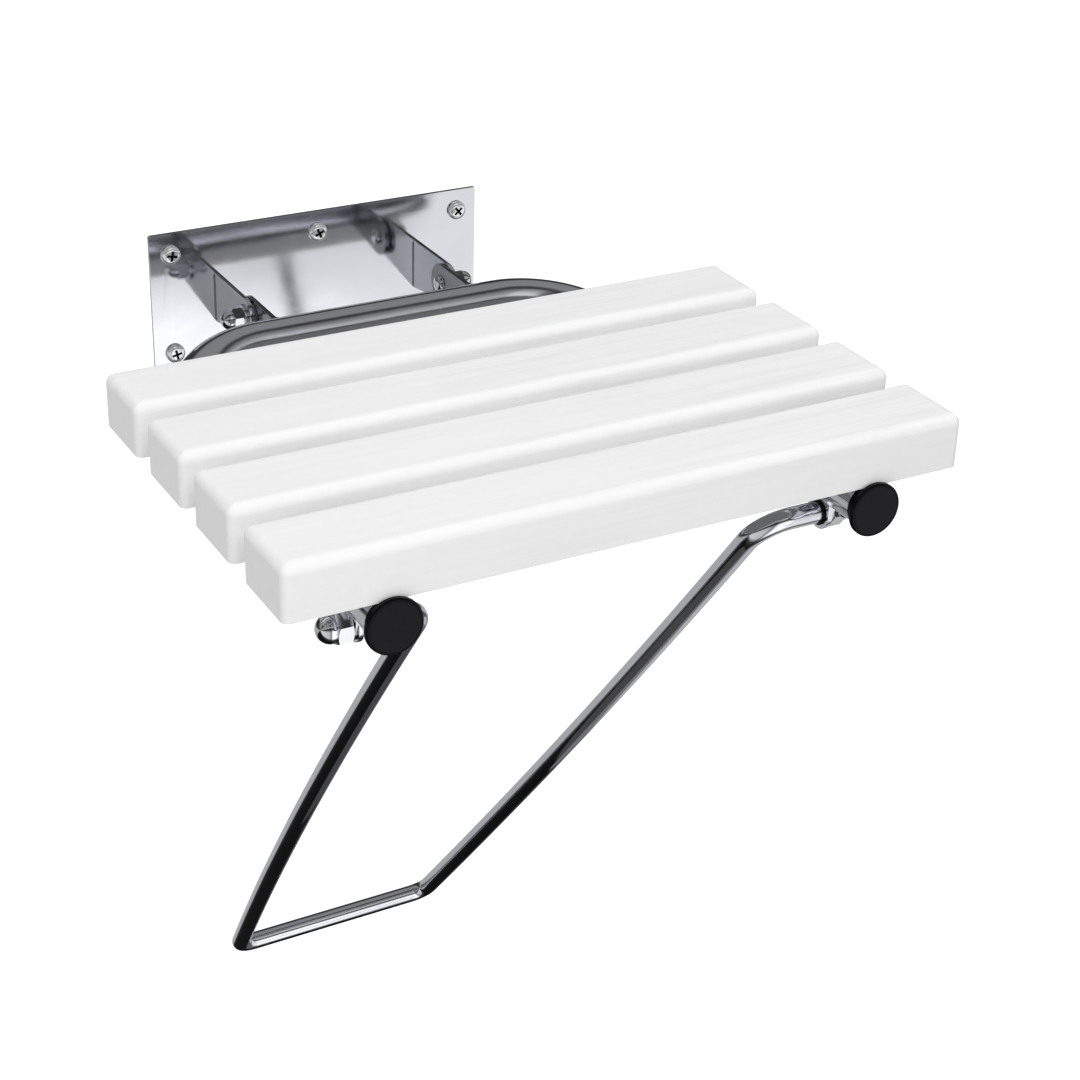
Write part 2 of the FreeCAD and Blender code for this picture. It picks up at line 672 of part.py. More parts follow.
# holes through both walls of the side tubes for the slat screws
slat_ys = [
    -P["slat_front"] + (3 - k) * P["slat_pitch"] + P["slat_wide"] / 2 for k in range(4)
]
drills = []
for side in (-1, 1):
    for k, y in enumerate(slat_ys):
        made = doc.addObject("Part::Cylinder", "frame_tube_drill_%s_%d" % ("left" if side < 0 else "right", k + 1))
        made.Radius = P["fix_shank"]
        made.setExpression("Radius", "Sizes.fix_shank")
        made.Height = 2 * P["tube_rad"] + 6
        made.setExpression("Height", "2 * Sizes.tube_rad + 6")
        made.Placement = FreeCAD.Placement(
            V(side * xs, y - P["fix_shift"], zc - P["tube_rad"] - 3), FreeCAD.Rotation()
        )
        drills.append(made)
drill_set = doc.addObject("Part::MultiFuse", "frame_tube_drills")
drill_set.Shapes = drills
frame_tube = doc.addObject("Part::Cut", "frame_tube")
frame_tube.Base = hollow
frame_tube.Tool = drill_set
doc.recompute()
want = path_length * math.pi * (P["tube_rad"] ** 2 - (P["tube_rad"] - P["tube_wall"]) ** 2)
if abs(hollow.Shape.Volume / want - 1) > 0.01:
    raise RuntimeError("the frame tube's volume is %.0f, not %.0f" % (hollow.Shape.Volume, want))
keep(frame_tube, "frame_tube")

# ---------------------------------------------------------------------------
# Frame tabs: plates welded to the back bar, level on top, round about the hinge
# axis at the back, and cut to the tube where they meet it.
# ---------------------------------------------------------------------------
for side, name in ((-1, "frame_tab_left"), (1, "frame_tab_right")):
    tab = body(name)
    sk = sketch(tab, name + "_outline", "YZ_Plane")
    r = P["lug_nose"]
    top, low = (hy, hz + r), (hy, hz - r)
    front_top, front_low = (bar_y, hz + r), (bar_y, bar_z - 7.0)
    a = line(sk, front_top, top)
    arc = sk.addGeometry(
        Part.ArcOfCircle(Part.Circle(V(hy, hz, 0), V(0, 0, 1), r), -math.pi / 2, math.pi / 2), False
    )
    b = line(sk, low, front_low)
    c = line(sk, front_low, front_top)
    sk.addConstraint(Sketcher.Constraint("Coincident", a, 2, arc, 2))
    sk.addConstraint(Sketcher.Constraint("Coincident", arc, 1, b, 1))
    sk.addConstraint(Sketcher.Constraint("Coincident", b, 2, c, 1))
    sk.addConstraint(Sketcher.Constraint("Coincident", c, 2, a, 1))
    n = sk.addConstraint(Sketcher.Constraint("Radius", arc, r))
    sk.setExpression("Constraints[%d]" % n, "Sizes.lug_nose")
    n = sk.addConstraint(Sketcher.Constraint("DistanceX", -1, 1, arc, 3, hy))
    sk.setExpression("Constraints[%d]" % n, "-Sizes.hinge_back")
    n = sk.addConstraint(Sketcher.Constraint("DistanceY", -1, 1, arc, 3, hz))
    sk.setExpression("Constraints[%d]" % n, "Sizes.hinge_up")
    plate = pad(tab, name + "_pad", sk, P["tab_thick"], "Sizes.tab_thick")
    sk = sketch(tab, name + "_tube_cut", "YZ_Plane")
    circle(sk, bar_y, bar_z, P["tube_rad"], None, None, "Sizes.tube_rad")
    pocket(tab, name + "_mitre", sk, both=True, off=100)
    sk = sketch(tab, name + "_hole", "YZ_Plane")
    circle(sk, hy, hz, P["bush_out"], "-Sizes.hinge_back", "Sizes.hinge_up", "Sizes.bush_out")
    pocket(tab, name + "_drilling", sk, both=True, off=200)
    x = P["tab_out"] - P["tab_thick"] if side > 0 else -P["tab_out"]
    place(tab, x=x)
    tab.setExpression(
        "Placement.Base.x", "Sizes.tab_out - Sizes.tab_thick" if side > 0 else "-Sizes.tab_out"
    )
    keep(tab, name)

# ---------------------------------------------------------------------------
# Leg tabs: small plates under the side tubes with a round lower end.
# ---------------------------------------------------------------------------
py, pz = -P["pivot_back"], P["pivot_down"]
for side, name in ((-1, "leg_tab_left"), (1, "leg_tab_right")):
    tab = body(name)
    inner = P["ear_in"] if side > 0 else -P["ear_in"] - P["ear_thick"]
    sk = sketch(tab, name + "_outline", "YZ_Plane", lift=inner)
    r = P["ear_nose"]
    top_z = zc - P["tube_rad"] + 3.0
    a = line(sk, (py - r, pz), (py - r, top_z))
    b = line(sk, (py - r, top_z), (py + r, top_z))
    c = line(sk, (py + r, top_z), (py + r, pz))
    arc = sk.addGeometry(
        Part.ArcOfCircle(Part.Circle(V(py, pz, 0), V(0, 0, 1), r), math.pi, 2 * math.pi), False
    )
    sk.addConstraint(Sketcher.Constraint("Coincident", a, 2, b, 1))
    sk.addConstraint(Sketcher.Constraint("Coincident", b, 2, c, 1))
    sk.addConstraint(Sketcher.Constraint("Coincident", c, 2, arc, 2))
    sk.addConstraint(Sketcher.Constraint("Coincident", arc, 1, a, 1))
    sk.addConstraint(Sketcher.Constraint("Vertical", a))
    sk.addConstraint(Sketcher.Constraint("Horizontal", b))
    sk.addConstraint(Sketcher.Constraint("Vertical", c))
    n = sk.addConstraint(Sketcher.Constraint("Radius", arc, r))
    sk.setExpression("Constraints[%d]" % n, "Sizes.ear_nose")
    n = sk.addConstraint(Sketcher.Constraint("DistanceX", -1, 1, arc, 3, py))
    sk.setExpression("Constraints[%d]" % n, "-Sizes.pivot_back")
    n = sk.addConstraint(Sketcher.Constraint("DistanceY", -1, 1, arc, 3, pz))
    sk.setExpression("Constraints[%d]" % n, "Sizes.pivot_down")
    pad(tab, name + "_pad", sk, P["ear_thick"], "Sizes.ear_thick")
    # the upper edge follows the underside of the tube
    sk = sketch(tab, name + "_tube_cut", "XZ_Plane")
    circle(sk, side * xs, zc, P["tube_rad"], ("" if side > 0 else "-") + "Sizes.tube_side", "Sizes.tube_drop", "Sizes.tube_rad")
    pocket(tab, name + "_mitre", sk, both=True, off=100)
    sk = sketch(tab, name + "_hole", "YZ_Plane")
    circle(sk, py, pz, P["ear_hole"], "-Sizes.pivot_back", "Sizes.pivot_down", "Sizes.ear_hole")
    pocket(tab, name + "_drilling", sk, both=True, off=200)
    keep(tab, name)

# ---------------------------------------------------------------------------
# End caps: a round face with a rounded rim, a neck tucked under the slat and a
# ribbed plug inside the tube. Turned about the side tube's own axis.
# ---------------------------------------------------------------------------
for side, name in ((-1, "end_cap_left"), (1, "end_cap_right")):
    cap = body(name)
    sk = sketch(cap, name + "_profile", "XY_Plane")
    f, rim, rt = -P["cap_front"], P["cap_rim"], P["tube_rad"]
    plug = P["tube_rad"] - P["tube_wall"]
    tube_end = -P["tube_front"]
    neck = -P["slat_front"]
    ids = [line(sk, (0, f), (rim - 1.8, f))]
    a0 = V(rim - 1.8, f, 0)
    a1 = V(rim - 1.8 + 1.8 * math.sin(math.pi / 4), f + 1.8 - 1.8 * math.cos(math.pi / 4), 0)
    a2 = V(rim, f + 1.8, 0)
    arc = sk.addGeometry(Part.Arc(a0, a1, a2), False)
    ids.append(arc)
    outline = [
        (rim, f + 1.8), (rim, f + 2.9), (rt - 0.05, neck), (rt - 0.05, tube_end),
        (plug, tube_end), (plug, tube_end + 4), (plug - 0.7, tube_end + 4), (plug - 0.7, tube_end + 6),
        (plug, tube_end + 6), (plug, tube_end + 10), (plug - 0.7, tube_end + 10),
        (plug - 1.6, tube_end + 13.5), (0, tube_end + 13.5), (0, f),
    ]
    for p, q in zip(outline[:-1], outline[1:]):
        ids.append(line(sk, p, q))
    where = {g: (1, 2) for g in ids}
    if sk.getPoint(arc, 1).distanceToPoint(a0) > 1e-6:
        where[arc] = (2, 1)
    for i, g in enumerate(ids):
        nxt = ids[(i + 1) % len(ids)]
        sk.addConstraint(Sketcher.Constraint("Coincident", g, where[g][1], nxt, where[nxt][0]))
    revolve(cap, name + "_turning", sk, "V_Axis")
    place(cap, x=side * xs, z=zc)
    keep(cap, name)

# ---------------------------------------------------------------------------
# Slats: hollow mouldings, open below, with rounded upper edges, a rib along the
# middle, cross ribs and two solid blocks over the side tubes for the screws.
# ---------------------------------------------------------------------------
half = P["slat_long"] / 2
wall = P["slat_wall"]
block = 10.0
rib = 1.5
for k in range(4):
    name = "slat_%d" % (k + 1)
    slat = body(name)
    sk = sketch(slat, name + "_outline", "XY_Plane")
    w = P["slat_wide"]
    box_outline(
        sk, -half, half, -w / 2, w / 2,
        ["-Sizes.slat_long / 2", "Sizes.slat_long / 2", "-Sizes.slat_wide / 2", "Sizes.slat_wide / 2"],
    )
    solid = pad(slat, name + "_block", sk, P["slat_high"], "Sizes.slat_high")
    corners = fillet(slat, name + "_corners", solid, edges_along(solid.Shape, V(0, 0, 1)), P["slat_corner"], "Sizes.slat_corner")
    top = [
        "Edge%d" % n for n, e in enumerate(corners.Shape.Edges, start=1)
        if all(abs(v.Point.z - P["slat_high"]) < 1e-6 for v in e.Vertexes)
    ]
    soft = fillet(slat, name + "_upper_edges", corners, top, P["slat_edge"], "Sizes.slat_edge")
    sk = sketch(slat, name + "_cells", "XY_Plane")
    for low, high, many in (
        (-half + wall, -xs - block, 2), (-xs + block, xs - block, 8), (xs + block, half - wall, 2),
    ):
        cell = (high - low - (many - 1) * rib) / many
        for n in range(many):
            x0 = low + n * (cell + rib)
            box_outline(sk, x0, x0 + cell, -w / 2 + wall, -rib / 2)
            box_outline(sk, x0, x0 + cell, rib / 2, w / 2 - wall)
    pocket(slat, name + "_hollow", sk, P["slat_high"] - P["slat_roof"], "Sizes.slat_high - Sizes.slat_roof", back=True, off=100000)
    sk = sketch(slat, name + "_pilot", "XY_Plane")
    for side in (-1, 1):
        circle(sk, side * xs, -P["fix_shift"], P["fix_shank"], ("" if side > 0 else "-") + "Sizes.tube_side", "-Sizes.fix_shift", "Sizes.fix_shank")
    pocket(slat, name + "_pilot_holes", sk, P["fix_depth"] + 1.0, "Sizes.fix_depth + 1", back=True, off=300)
    place(slat, y=slat_ys[k], z=P["slat_base"])
    keep(slat, name)

# ---------------------------------------------------------------------------
# Slat screws: pan heads under the side tubes, shanks through the tube.
# ---------------------------------------------------------------------------
slat_screws = body("slat_screws", many=True)
sk = sketch(slat_screws, "slat_screw_profile", "XZ_Plane")
z0 = zc - P["tube_rad"]
z1 = P["slat_base"] + P["fix_depth"]
rh, r = P["fix_head"], P["fix_shank"]
polygon(
    sk,
    [
        (0, z0 - 2.9), (rh - 1.4, z0 - 2.9), (rh - 0.35, z0 - 2.1), (rh, z0 - 1.1), (rh, z0),
        (r, z0), (r, z1 - 3), (0, z1),
    ],
)
revolve(slat_screws, "slat_screw_turning", sk, "V_Axis")
sk = sketch(slat_screws, "slat_screw_recess", "XY_Plane", lift=z0 - 2.9)
w, reach = 0.55, 2.2
polygon(
    sk,
    [
        (-reach, -w), (-w, -w), (-w, -reach), (w, -reach), (w, -w), (reach, -w),
        (reach, w), (w, w), (w, reach), (-w, reach), (-w, w), (-reach, w),
    ],
)
pocket(slat_screws, "slat_screw_cross", sk, 1.7, back=True, off=5)
grid = slat_screws.newObject("PartDesign::LinearPattern", "slat_screw_grid")
grid.TransformMode = "Whole shape" if "Whole shape" in grid.getEnumerationsOfProperty("TransformMode") else grid.TransformMode
grid.Direction = (origin(slat_screws, "X_Axis"), [""])
grid.Length = 2 * xs
grid.Occurrences = 2
grid.Direction2 = (origin(slat_screws, "Y_Axis"), [""])
grid.Length2 = 3 * P["slat_pitch"]
grid.Occurrences2 = 4
grid.setExpression("Length", "2 * Sizes.tube_side")
grid.setExpression("Length2", "3 * Sizes.slat_pitch")
slat_screws.Tip = grid
place(slat_screws, x=-xs, y=slat_ys[3] - P["fix_shift"])
doc.recompute()
keep(slat_screws, "slat_screws")

# ---------------------------------------------------------------------------
# Support leg: one bent round rod in its own plane, through the pivot axis and
# the crossbar. Local x is along the slats, local y runs down the leg.
# ---------------------------------------------------------------------------
foot_y, foot_z = -P["foot_back"], P["foot_down"]
dy, dz = foot_y - py, foot_z - pz
leg_long = math.hypot(dy, dz)
support_leg = body("support_leg")
sk = sketch(support_leg, "support_leg_line", "XY_Plane")
rod = P["rod_rad"]
elbow, foot_r = P["elbow_bend"], P["foot_bend"]
xt, xf = P["leg_top"], P["leg_foot"]
# One long arc for each side of the leg, through the half widths at the top, the
# middle and the foot; then the bends are tangent to it.
xm = (xt + xf) / 2 + 7.3
A, B, C = V(xt, 0, 0), V(xm, leg_long / 2, 0), V(xf, leg_long, 0)
bow = Part.Arc(A, B, C).toShape().Curve
centre, big = bow.Center, bow.Radius
# upper bend: tangent to the line y = 0 and, from outside, to the long arc
cy1 = elbow
cx1 = centre.x + math.sqrt((big + elbow) ** 2 - (cy1 - centre.y) ** 2)
ux, uy = (cx1 - centre.x) / (big + elbow), (cy1 - centre.y) / (big + elbow)
t1 = (centre.x + big * ux, centre.y + big * uy)
# lower bend: tangent to the crossbar y = leg_long and, from inside, to the arc
cy2 = leg_long - foot_r
cx2 = centre.x + math.sqrt((big - foot_r) ** 2 - (cy2 - centre.y) ** 2)
vx, vy = (cx2 - centre.x) / (big - foot_r), (cy2 - centre.y) / (big - foot_r)
t2 = (centre.x + big * vx, centre.y + big * vy)
x_shoulder = P["rod_shoulder"]


def arc_three(sk, a, b, c):
    return sk.addGeometry(Part.Arc(V(a[0], a[1], 0), V(b[0], b[1], 0), V(c[0], c[1], 0)), False)


def on_circle(cx, cy, r, p, q):
    """The middle of the short arc from p to q."""
    mx, my = (p[0] + q[0]) / 2 - cx, (p[1] + q[1]) / 2 - cy
    n = math.hypot(mx, my)
    return (cx + r * mx / n, cy + r * my / n)


chain = []
for side in (1, -1):
    e0 = (side * x_shoulder, 0)
    e1 = (side * cx1, 0)
    e2 = (side * t1[0], t1[1])
    e3 = (side * t2[0], t2[1])
    e4 = (side * cx2, leg_long)
    m12 = on_circle(side * cx1, cy1, elbow, e1, e2)
    m23 = on_circle(side * centre.x, centre.y, big, e2, e3)
    m34 = on_circle(side * cx2, cy2, foot_r, e3, e4)
    run = [
        ("line", e0, e1), ("arc", e1, m12, e2), ("arc", e2, m23, e3), ("arc", e3, m34, e4),
    ]
    chain.append((run, e4))
right, left = chain[0][0], chain[1][0]
path = list(right) + [("line", chain[0][1], chain[1][1])]
for item in reversed(left):
    path.append((item[0],) + tuple(reversed(item[1:])))
made_ids = []
for item in path:
    if item[0] == "line":
        g = line(sk, item[1], item[2])
        made_ids.append((g, 1, 2))
    else:
        g = arc_three(sk, item[1], item[2], item[3])
        first = sk.getPoint(g, 1)
        if math.hypot(first.x - item[1][0], first.y - item[1][1]) < 1e-6:
            made_ids.append((g, 1, 2))
        else:
            made_ids.append((g, 2, 1))
for one, two in zip(made_ids[:-1], made_ids[1:]):
    sk.addConstraint(Sketcher.Constraint("Coincident", one[0], one[2], two[0], two[1]))
leg_line = sk
profile = sketch(support_leg, "support_leg_section", "YZ_Plane", lift=x_shoulder, lift_by="Sizes.rod_shoulder")
circle(profile, 0, 0, rod, None, None, "Sizes.rod_rad")
pipe = support_leg.newObject("PartDesign::AdditivePipe", "support_leg_rod")
pipe.Profile = profile
pipe.Spine = (leg_line, [])
pipe.Transition = "Transformed"
doc.recompute()
want = math.pi * rod ** 2 * sum(e.Length for e in leg_line.Shape.Edges)
if abs(support_leg.Shape.Volume / want - 1) > 0.01:
    raise RuntimeError("the leg's volume is %.0f, not %.0f" % (support_leg.Shape.Volume, want))
leg_seat = P["ear_in"] + P["ear_thick"] + 0.1 + P["stop_thick"]
leg_end = leg_seat + P["leg_nut_high"] + 3.0
for side, tag in ((1, "right"), (-1, "left")):
    sk = sketch(support_leg, "support_leg_stud_" + tag, "YZ_Plane", lift=side * x_shoulder)
    circle(sk, 0, 0, P["rod_stud"], None, None, "Sizes.rod_stud")
    stud = pad(support_leg, "support_leg_thread_" + tag, sk, leg_end - x_shoulder, back=side < 0)
rims = [
    "Edge%d" % n for n, e in enumerate(support_leg.Shape.Edges, start=1)
    if e.Curve.TypeId == "Part::GeomCircle" and abs(e.Curve.Radius - P["rod_stud"]) < 1e-6
    and abs(abs(e.Curve.Center.x) - leg_end) < 1e-6
]
chamfer(support_leg, "support_leg_ends", stud, rims, 1.0)
# local y points from the pivot to the crossbar
tilt = math.degrees(math.atan2(dz, dy))
place(support_leg, y=py, z=pz, axis=(1, 0, 0), angle=tilt)
keep(support_leg, "support_leg")

# ---------------------------------------------------------------------------
# Leg pivot hardware: plastic washer at the shoulder, keyed stop washer with a
# tang that bears on the underside of the tube, and the acorn nut.
# ---------------------------------------------------------------------------
washers, nuts = [], []
for side, tag in ((-1, "left"), (1, "right")):
    washers.append(
        ring("leg_washer_" + tag, P["rod_stud"], 7.6, x_shoulder, P["ear_in"] - 0.1, py, pz, side)
    )
    name = "leg_stop_washer_" + tag
    stop = body(name)
    inner = P["ear_in"] + P["ear_thick"] + 0.1
    lift = inner if side > 0 else -inner - P["stop_thick"]
    sk = sketch(stop, name + "_outline", "YZ_Plane", lift=lift)
    r = P["stop_rim"]
    tang_top = zc - P["tube_rad"] - 0.1 - pz
    # round rim with the tang standing on its upper front quarter
    a_start = math.asin(3.0 / r) + math.pi / 2
    p1 = (-3.0, tang_top)
    p2 = (-10.2, tang_top)
    p3 = (-10.2, tang_top - 4.0)
    s = (-3.0, math.sqrt(r * r - 9.0))
    t_ang = math.radians(185)
    t = (r * math.cos(t_ang), r * math.sin(t_ang))
    a = line(sk, (py + s[0], pz + s[1]), (py + p1[0], pz + p1[1]))
    b = line(sk, (py + p1[0], pz + p1[1]), (py + p2[0], pz + p2[1]))
    c = line(sk, (py + p2[0], pz + p2[1]), (py + p3[0], pz + p3[1]))
    d = line(sk, (py + p3[0], pz + p3[1]), (py + t[0], pz + t[1]))
    s_ang = math.atan2(s[1], s[0])
    arc = sk.addGeometry(
        Part.ArcOfCircle(Part.Circle(V(py, pz, 0), V(0, 0, 1), r), t_ang, s_ang + 2 * math.pi), False
    )
    for one, two in (((a, 2), (b, 1)), ((b, 2), (c, 1)), ((c, 2), (d, 1)), ((d, 2), (arc, 1)), ((arc, 2), (a, 1))):
        sk.addConstraint(Sketcher.Constraint("Coincident", one[0], one[1], two[0], two[1]))
    pad(stop, name + "_pad", sk, P["stop_thick"], "Sizes.stop_thick")
    sk = sketch(stop, name + "_hole", "YZ_Plane")
    circle(sk, py, pz, P["rod_stud"], "-Sizes.pivot_back", "Sizes.pivot_down", "Sizes.rod_stud")
    pocket(stop, name + "_drilling", sk, both=True, off=80)
    keep(stop, name)
    nuts.append(
        acorn_nut("leg_acorn_nut_" + tag, side, leg_seat, py, pz, P["rod_stud"], leg_end - leg_seat + 0.4, "leg_nut")
    )
pair("leg_washers", washers)
pair("leg_acorn_nuts", nuts)

# ---------------------------------------------------------------------------
# Checks, then one file for each piece.
# ---------------------------------------------------------------------------
doc.recompute()
for thing in doc.Objects:
    bad = [s for s in thing.State if s in ("Invalid", "Error")]
    if bad:
        raise RuntimeError("%s is %s" % (thing.Label, bad))
if len(set(LABELS)) != len(LABELS) or len(LABELS) > 60:
    raise RuntimeError("labels are not unique, or there are too many")
counts = {
    "wall_screws": 6, "slat_screws": 8, "hinge_bolts": 2, "hinge_washers": 2,
    "hinge_acorn_nuts": 2, "leg_washers": 2, "leg_acorn_nuts": 2,
}
for thing in KEPT:
    shape = thing.Shape
    if shape.isNull() or not shape.isValid():
        raise RuntimeError(thing.Label + " has no valid shape")
    if len(shape.Solids) != counts.get(thing.Label, 1):
        raise RuntimeError("%s has %d solids" % (thing.Label, len(shape.Solids)))
os.makedirs("parts", exist_ok=True)
for thing in KEPT:
    thing.Shape.exportStep("parts/%s.step" % thing.Label)
    b = thing.Shape.BoundBox
    print(
        "%-24s volume %9.0f  x %7.1f %7.1f  y %7.1f %7.1f  z %7.1f %7.1f"
        % (thing.Label, thing.Shape.Volume, b.XMin, b.XMax, b.YMin, b.YMax, b.ZMin, b.ZMax)
    )
print("back bar centre y %.1f z %.1f, leg length %.1f, leg angle %.2f" % (bar_y, bar_z, leg_long, tilt))
print("upper bend x %.1f, lower bend x %.1f, bow radius %.0f" % (cx1, cx2, big))
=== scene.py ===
import math
import random

import bmesh
import bpy
from mathutils import Matrix, Vector
from mathutils.geometry import tessellate_polygon


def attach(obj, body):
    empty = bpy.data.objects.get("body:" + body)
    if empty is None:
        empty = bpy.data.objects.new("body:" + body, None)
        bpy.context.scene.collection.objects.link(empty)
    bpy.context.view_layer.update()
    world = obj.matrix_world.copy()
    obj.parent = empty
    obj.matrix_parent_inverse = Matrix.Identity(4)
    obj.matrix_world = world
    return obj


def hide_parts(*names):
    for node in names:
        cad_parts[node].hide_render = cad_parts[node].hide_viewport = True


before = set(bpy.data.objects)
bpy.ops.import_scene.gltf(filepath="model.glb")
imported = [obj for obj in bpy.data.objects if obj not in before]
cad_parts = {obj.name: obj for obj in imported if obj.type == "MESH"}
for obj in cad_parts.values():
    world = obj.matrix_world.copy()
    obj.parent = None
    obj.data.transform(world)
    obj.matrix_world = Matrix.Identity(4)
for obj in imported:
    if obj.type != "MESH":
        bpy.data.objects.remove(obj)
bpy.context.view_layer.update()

MM = 0.001
scene = bpy.context.scene

# ---------------------------------------------------------------------------
# Sizes in millimetres, the same as the frame's
# ---------------------------------------------------------------------------
PLATE_X, PLATE_Z, PLATE_T, PLATE_R = 228.0, 95.0, 2.0, 1.5
SCREW_X, SCREW_Z = 100.0, 33.25
HINGE = (-50.0, 4.0)
NOSE = 13.0
LUG_IN, LUG_T = 68.5, 3.0
TAB_OUT, TAB_T = 67.5, 3.0
TUBE_R, TUBE_WALL = 12.5, 1.5
SIDE_X, SIDE_Z = 143.3, -6.9
FRONT_Y, CRANK_Y = -411.0, -165.0
CRANK_R, CRANK_A, CORNER_R = 30.0, math.radians(12.0), 64.0
SLAT_L, SLAT_W, SLAT_H, SLAT_PITCH = 400.0, 50.4, 31.8, 66.8
SLAT_FRONT, SLAT_BASE = -415.5, 5.6
FIX_SHIFT = 4.2
CAP_R, CAP_Y = 15.8, -420.0
PIVOT = (-370.5, -30.1)
FOOT = (-6.35, -510.8)
EAR_IN, EAR_T, EAR_R = 141.8, 3.0, 10.0
ROD_R, STUD_R, SHOULDER = 6.35, 5.0, 140.8
LEG_TOP, LEG_FOOT, LEG_BOW = 103.0, 75.8, 7.3
ELBOW_R, FOOT_R = 20.0, 13.0


# ---------------------------------------------------------------------------
# Materials
# ---------------------------------------------------------------------------
def node_material(name):
    made = bpy.data.materials.new(name)
    made.use_nodes = True
    tree = made.node_tree
    tree.nodes.clear()
    out = tree.nodes.new("ShaderNodeOutputMaterial")
    shader = tree.nodes.new("ShaderNodeBsdfPrincipled")
    tree.links.new(shader.outputs["BSDF"], out.inputs["Surface"])
    return made, tree, shader


def noise(tree, coords, scale, stretch=(1, 1, 1), detail=3.0, rough=0.5):
    """A noise texture on stretched coordinates; gives the factor's socket."""
    mapping = tree.nodes.new("ShaderNodeMapping")
    mapping.inputs["Scale"].default_value = stretch
    tree.links.new(coords, mapping.inputs["Vector"])
    tex = tree.nodes.new("ShaderNodeTexNoise")
    tex.inputs["Scale"].default_value = scale
    tex.inputs["Detail"].default_value = detail
    tex.inputs["Roughness"].default_value = rough
    tree.links.new(mapping.outputs["Vector"], tex.inputs["Vector"])
    return tex.outputs["Fac"]


def ranged(tree, socket, low, high, a=0.3, b=0.7):
    node = tree.nodes.new("ShaderNodeMapRange")
    node.inputs["From Min"].default_value = a
    node.inputs["From Max"].default_value = b
    node.inputs["To Min"].default_value = low
    node.inputs["To Max"].default_value = high
    tree.links.new(socket, node.inputs["Value"])
    return node.outputs["Result"]


def ramp(tree, socket, stops):
    node = tree.nodes.new("ShaderNodeValToRGB")
    elements = node.color_ramp.elements
    while len(elements) < len(stops):
        elements.new(0.5)
    for element, (place, level) in zip(elements, stops):
        element.position = place
        element.color = (level[0], level[1], level[2], 1.0) if isinstance(level, tuple) else (level, level, level, 1.0)
    tree.links.new(socket, node.inputs["Fac"])
    return node.outputs["Color"]


def bump(tree, shader, layers):
    """Stacked bumps: each layer is a height socket, a strength and a distance in metres."""
    last = None
    for height, strength, distance in layers:
        node = tree.nodes.new("ShaderNodeBump")
        node.inputs["Strength"].default_value = strength
        node.inputs["Distance"].default_value = distance
        tree.links.new(height, node.inputs["Height"])
        if last is not None:
            tree.links.new(last, node.inputs["Normal"])
        last = node.outputs["Normal"]
    tree.links.new(last, shader.inputs["Normal"])


def steel(name, base, rough, grain=None, wave=(6.0, 0.0006), grain_depth=0.00002, fine=0.000006, coords_kind="Object", metal=1.0):
    """Polished metal: long soft waves, a polishing grain, pores and uneven gloss."""
    made, tree, shader = node_material(name)
    coords = tree.nodes.new("ShaderNodeTexCoord").outputs[coords_kind]
    place = tree.nodes.new("ShaderNodeTexCoord").outputs["Object"]
    shader.inputs["Metallic"].default_value = metal
    stains = noise(tree, place, 22.0, detail=4.0)
    tree.links.new(
        ramp(tree, stains, [(0.3, tuple(c * 0.95 for c in base)), (0.7, base)]),
        shader.inputs["Base Color"],
    )
    smears = noise(tree, place, 35.0, (1.0, 1.0, 2.2), 5.0, 0.6)
    tree.links.new(ranged(tree, smears, rough[0], rough[1]), shader.inputs["Roughness"])
    layers = []
    if wave:
        layers.append((noise(tree, place, wave[0], detail=1.0), 1.0, wave[1]))
    if grain:
        layers.append((noise(tree, coords, grain[0], grain[1], 3.0, 0.6), 1.0, grain_depth))
    layers.append((noise(tree, place, 900.0, detail=2.0), 1.0, fine))
    bump(tree, shader, layers)
    return made


tube_steel = steel("tube_steel", (0.787, 0.797, 0.842), (0.12, 0.19), grain=(9.0, (1.0, 0.05, 1.0)), wave=(9.0, 0.00025), grain_depth=0.000018, coords_kind="UV")
rod_steel = steel("rod_steel", (0.787, 0.797, 0.842), (0.08, 0.14), grain=(9.0, (1.0, 0.05, 1.0)), wave=(7.0, 0.00015), grain_depth=0.000010, coords_kind="UV")
plate_steel = steel("plate_steel", (0.787, 0.797, 0.842), (0.07, 0.115), grain=(260.0, (1.0, 1.0, 0.04)), wave=(11.0, 0.00045), grain_depth=0.000003, fine=0.000003)
tab_steel = steel("tab_steel", (0.787, 0.797, 0.842), (0.09, 0.16), grain=(260.0, (1.0, 0.05, 1.0)), wave=(18.0, 0.0001), grain_depth=0.000006)
dull_steel = steel("dull_steel", (0.412, 0.417, 0.441), (0.14, 0.22), grain=(260.0, (1.0, 0.05, 1.0)), wave=(18.0, 0.0001), grain_depth=0.000006)
bright_steel = steel("bright_steel", (0.827, 0.837, 0.876), (0.06, 0.12), wave=(60.0, 0.00008), fine=0.000005)
head_steel = steel("head_steel", (0.908, 0.916, 0.950), (0.10, 0.16), wave=(60.0, 0.00008), fine=0.00001, metal=0.75)
# dull near-black metal for painted shade: inside the screws' cross recesses and under their heads' rims
recess_shade_steel = steel("recess_shade_steel", (0.05, 0.05, 0.05), (0.45, 0.60), wave=(90.0, 0.00010), fine=0.00002)
weld_steel = steel("weld_steel", (0.216, 0.219, 0.236), (0.26, 0.40), wave=(300.0, 0.00020), fine=0.00003)


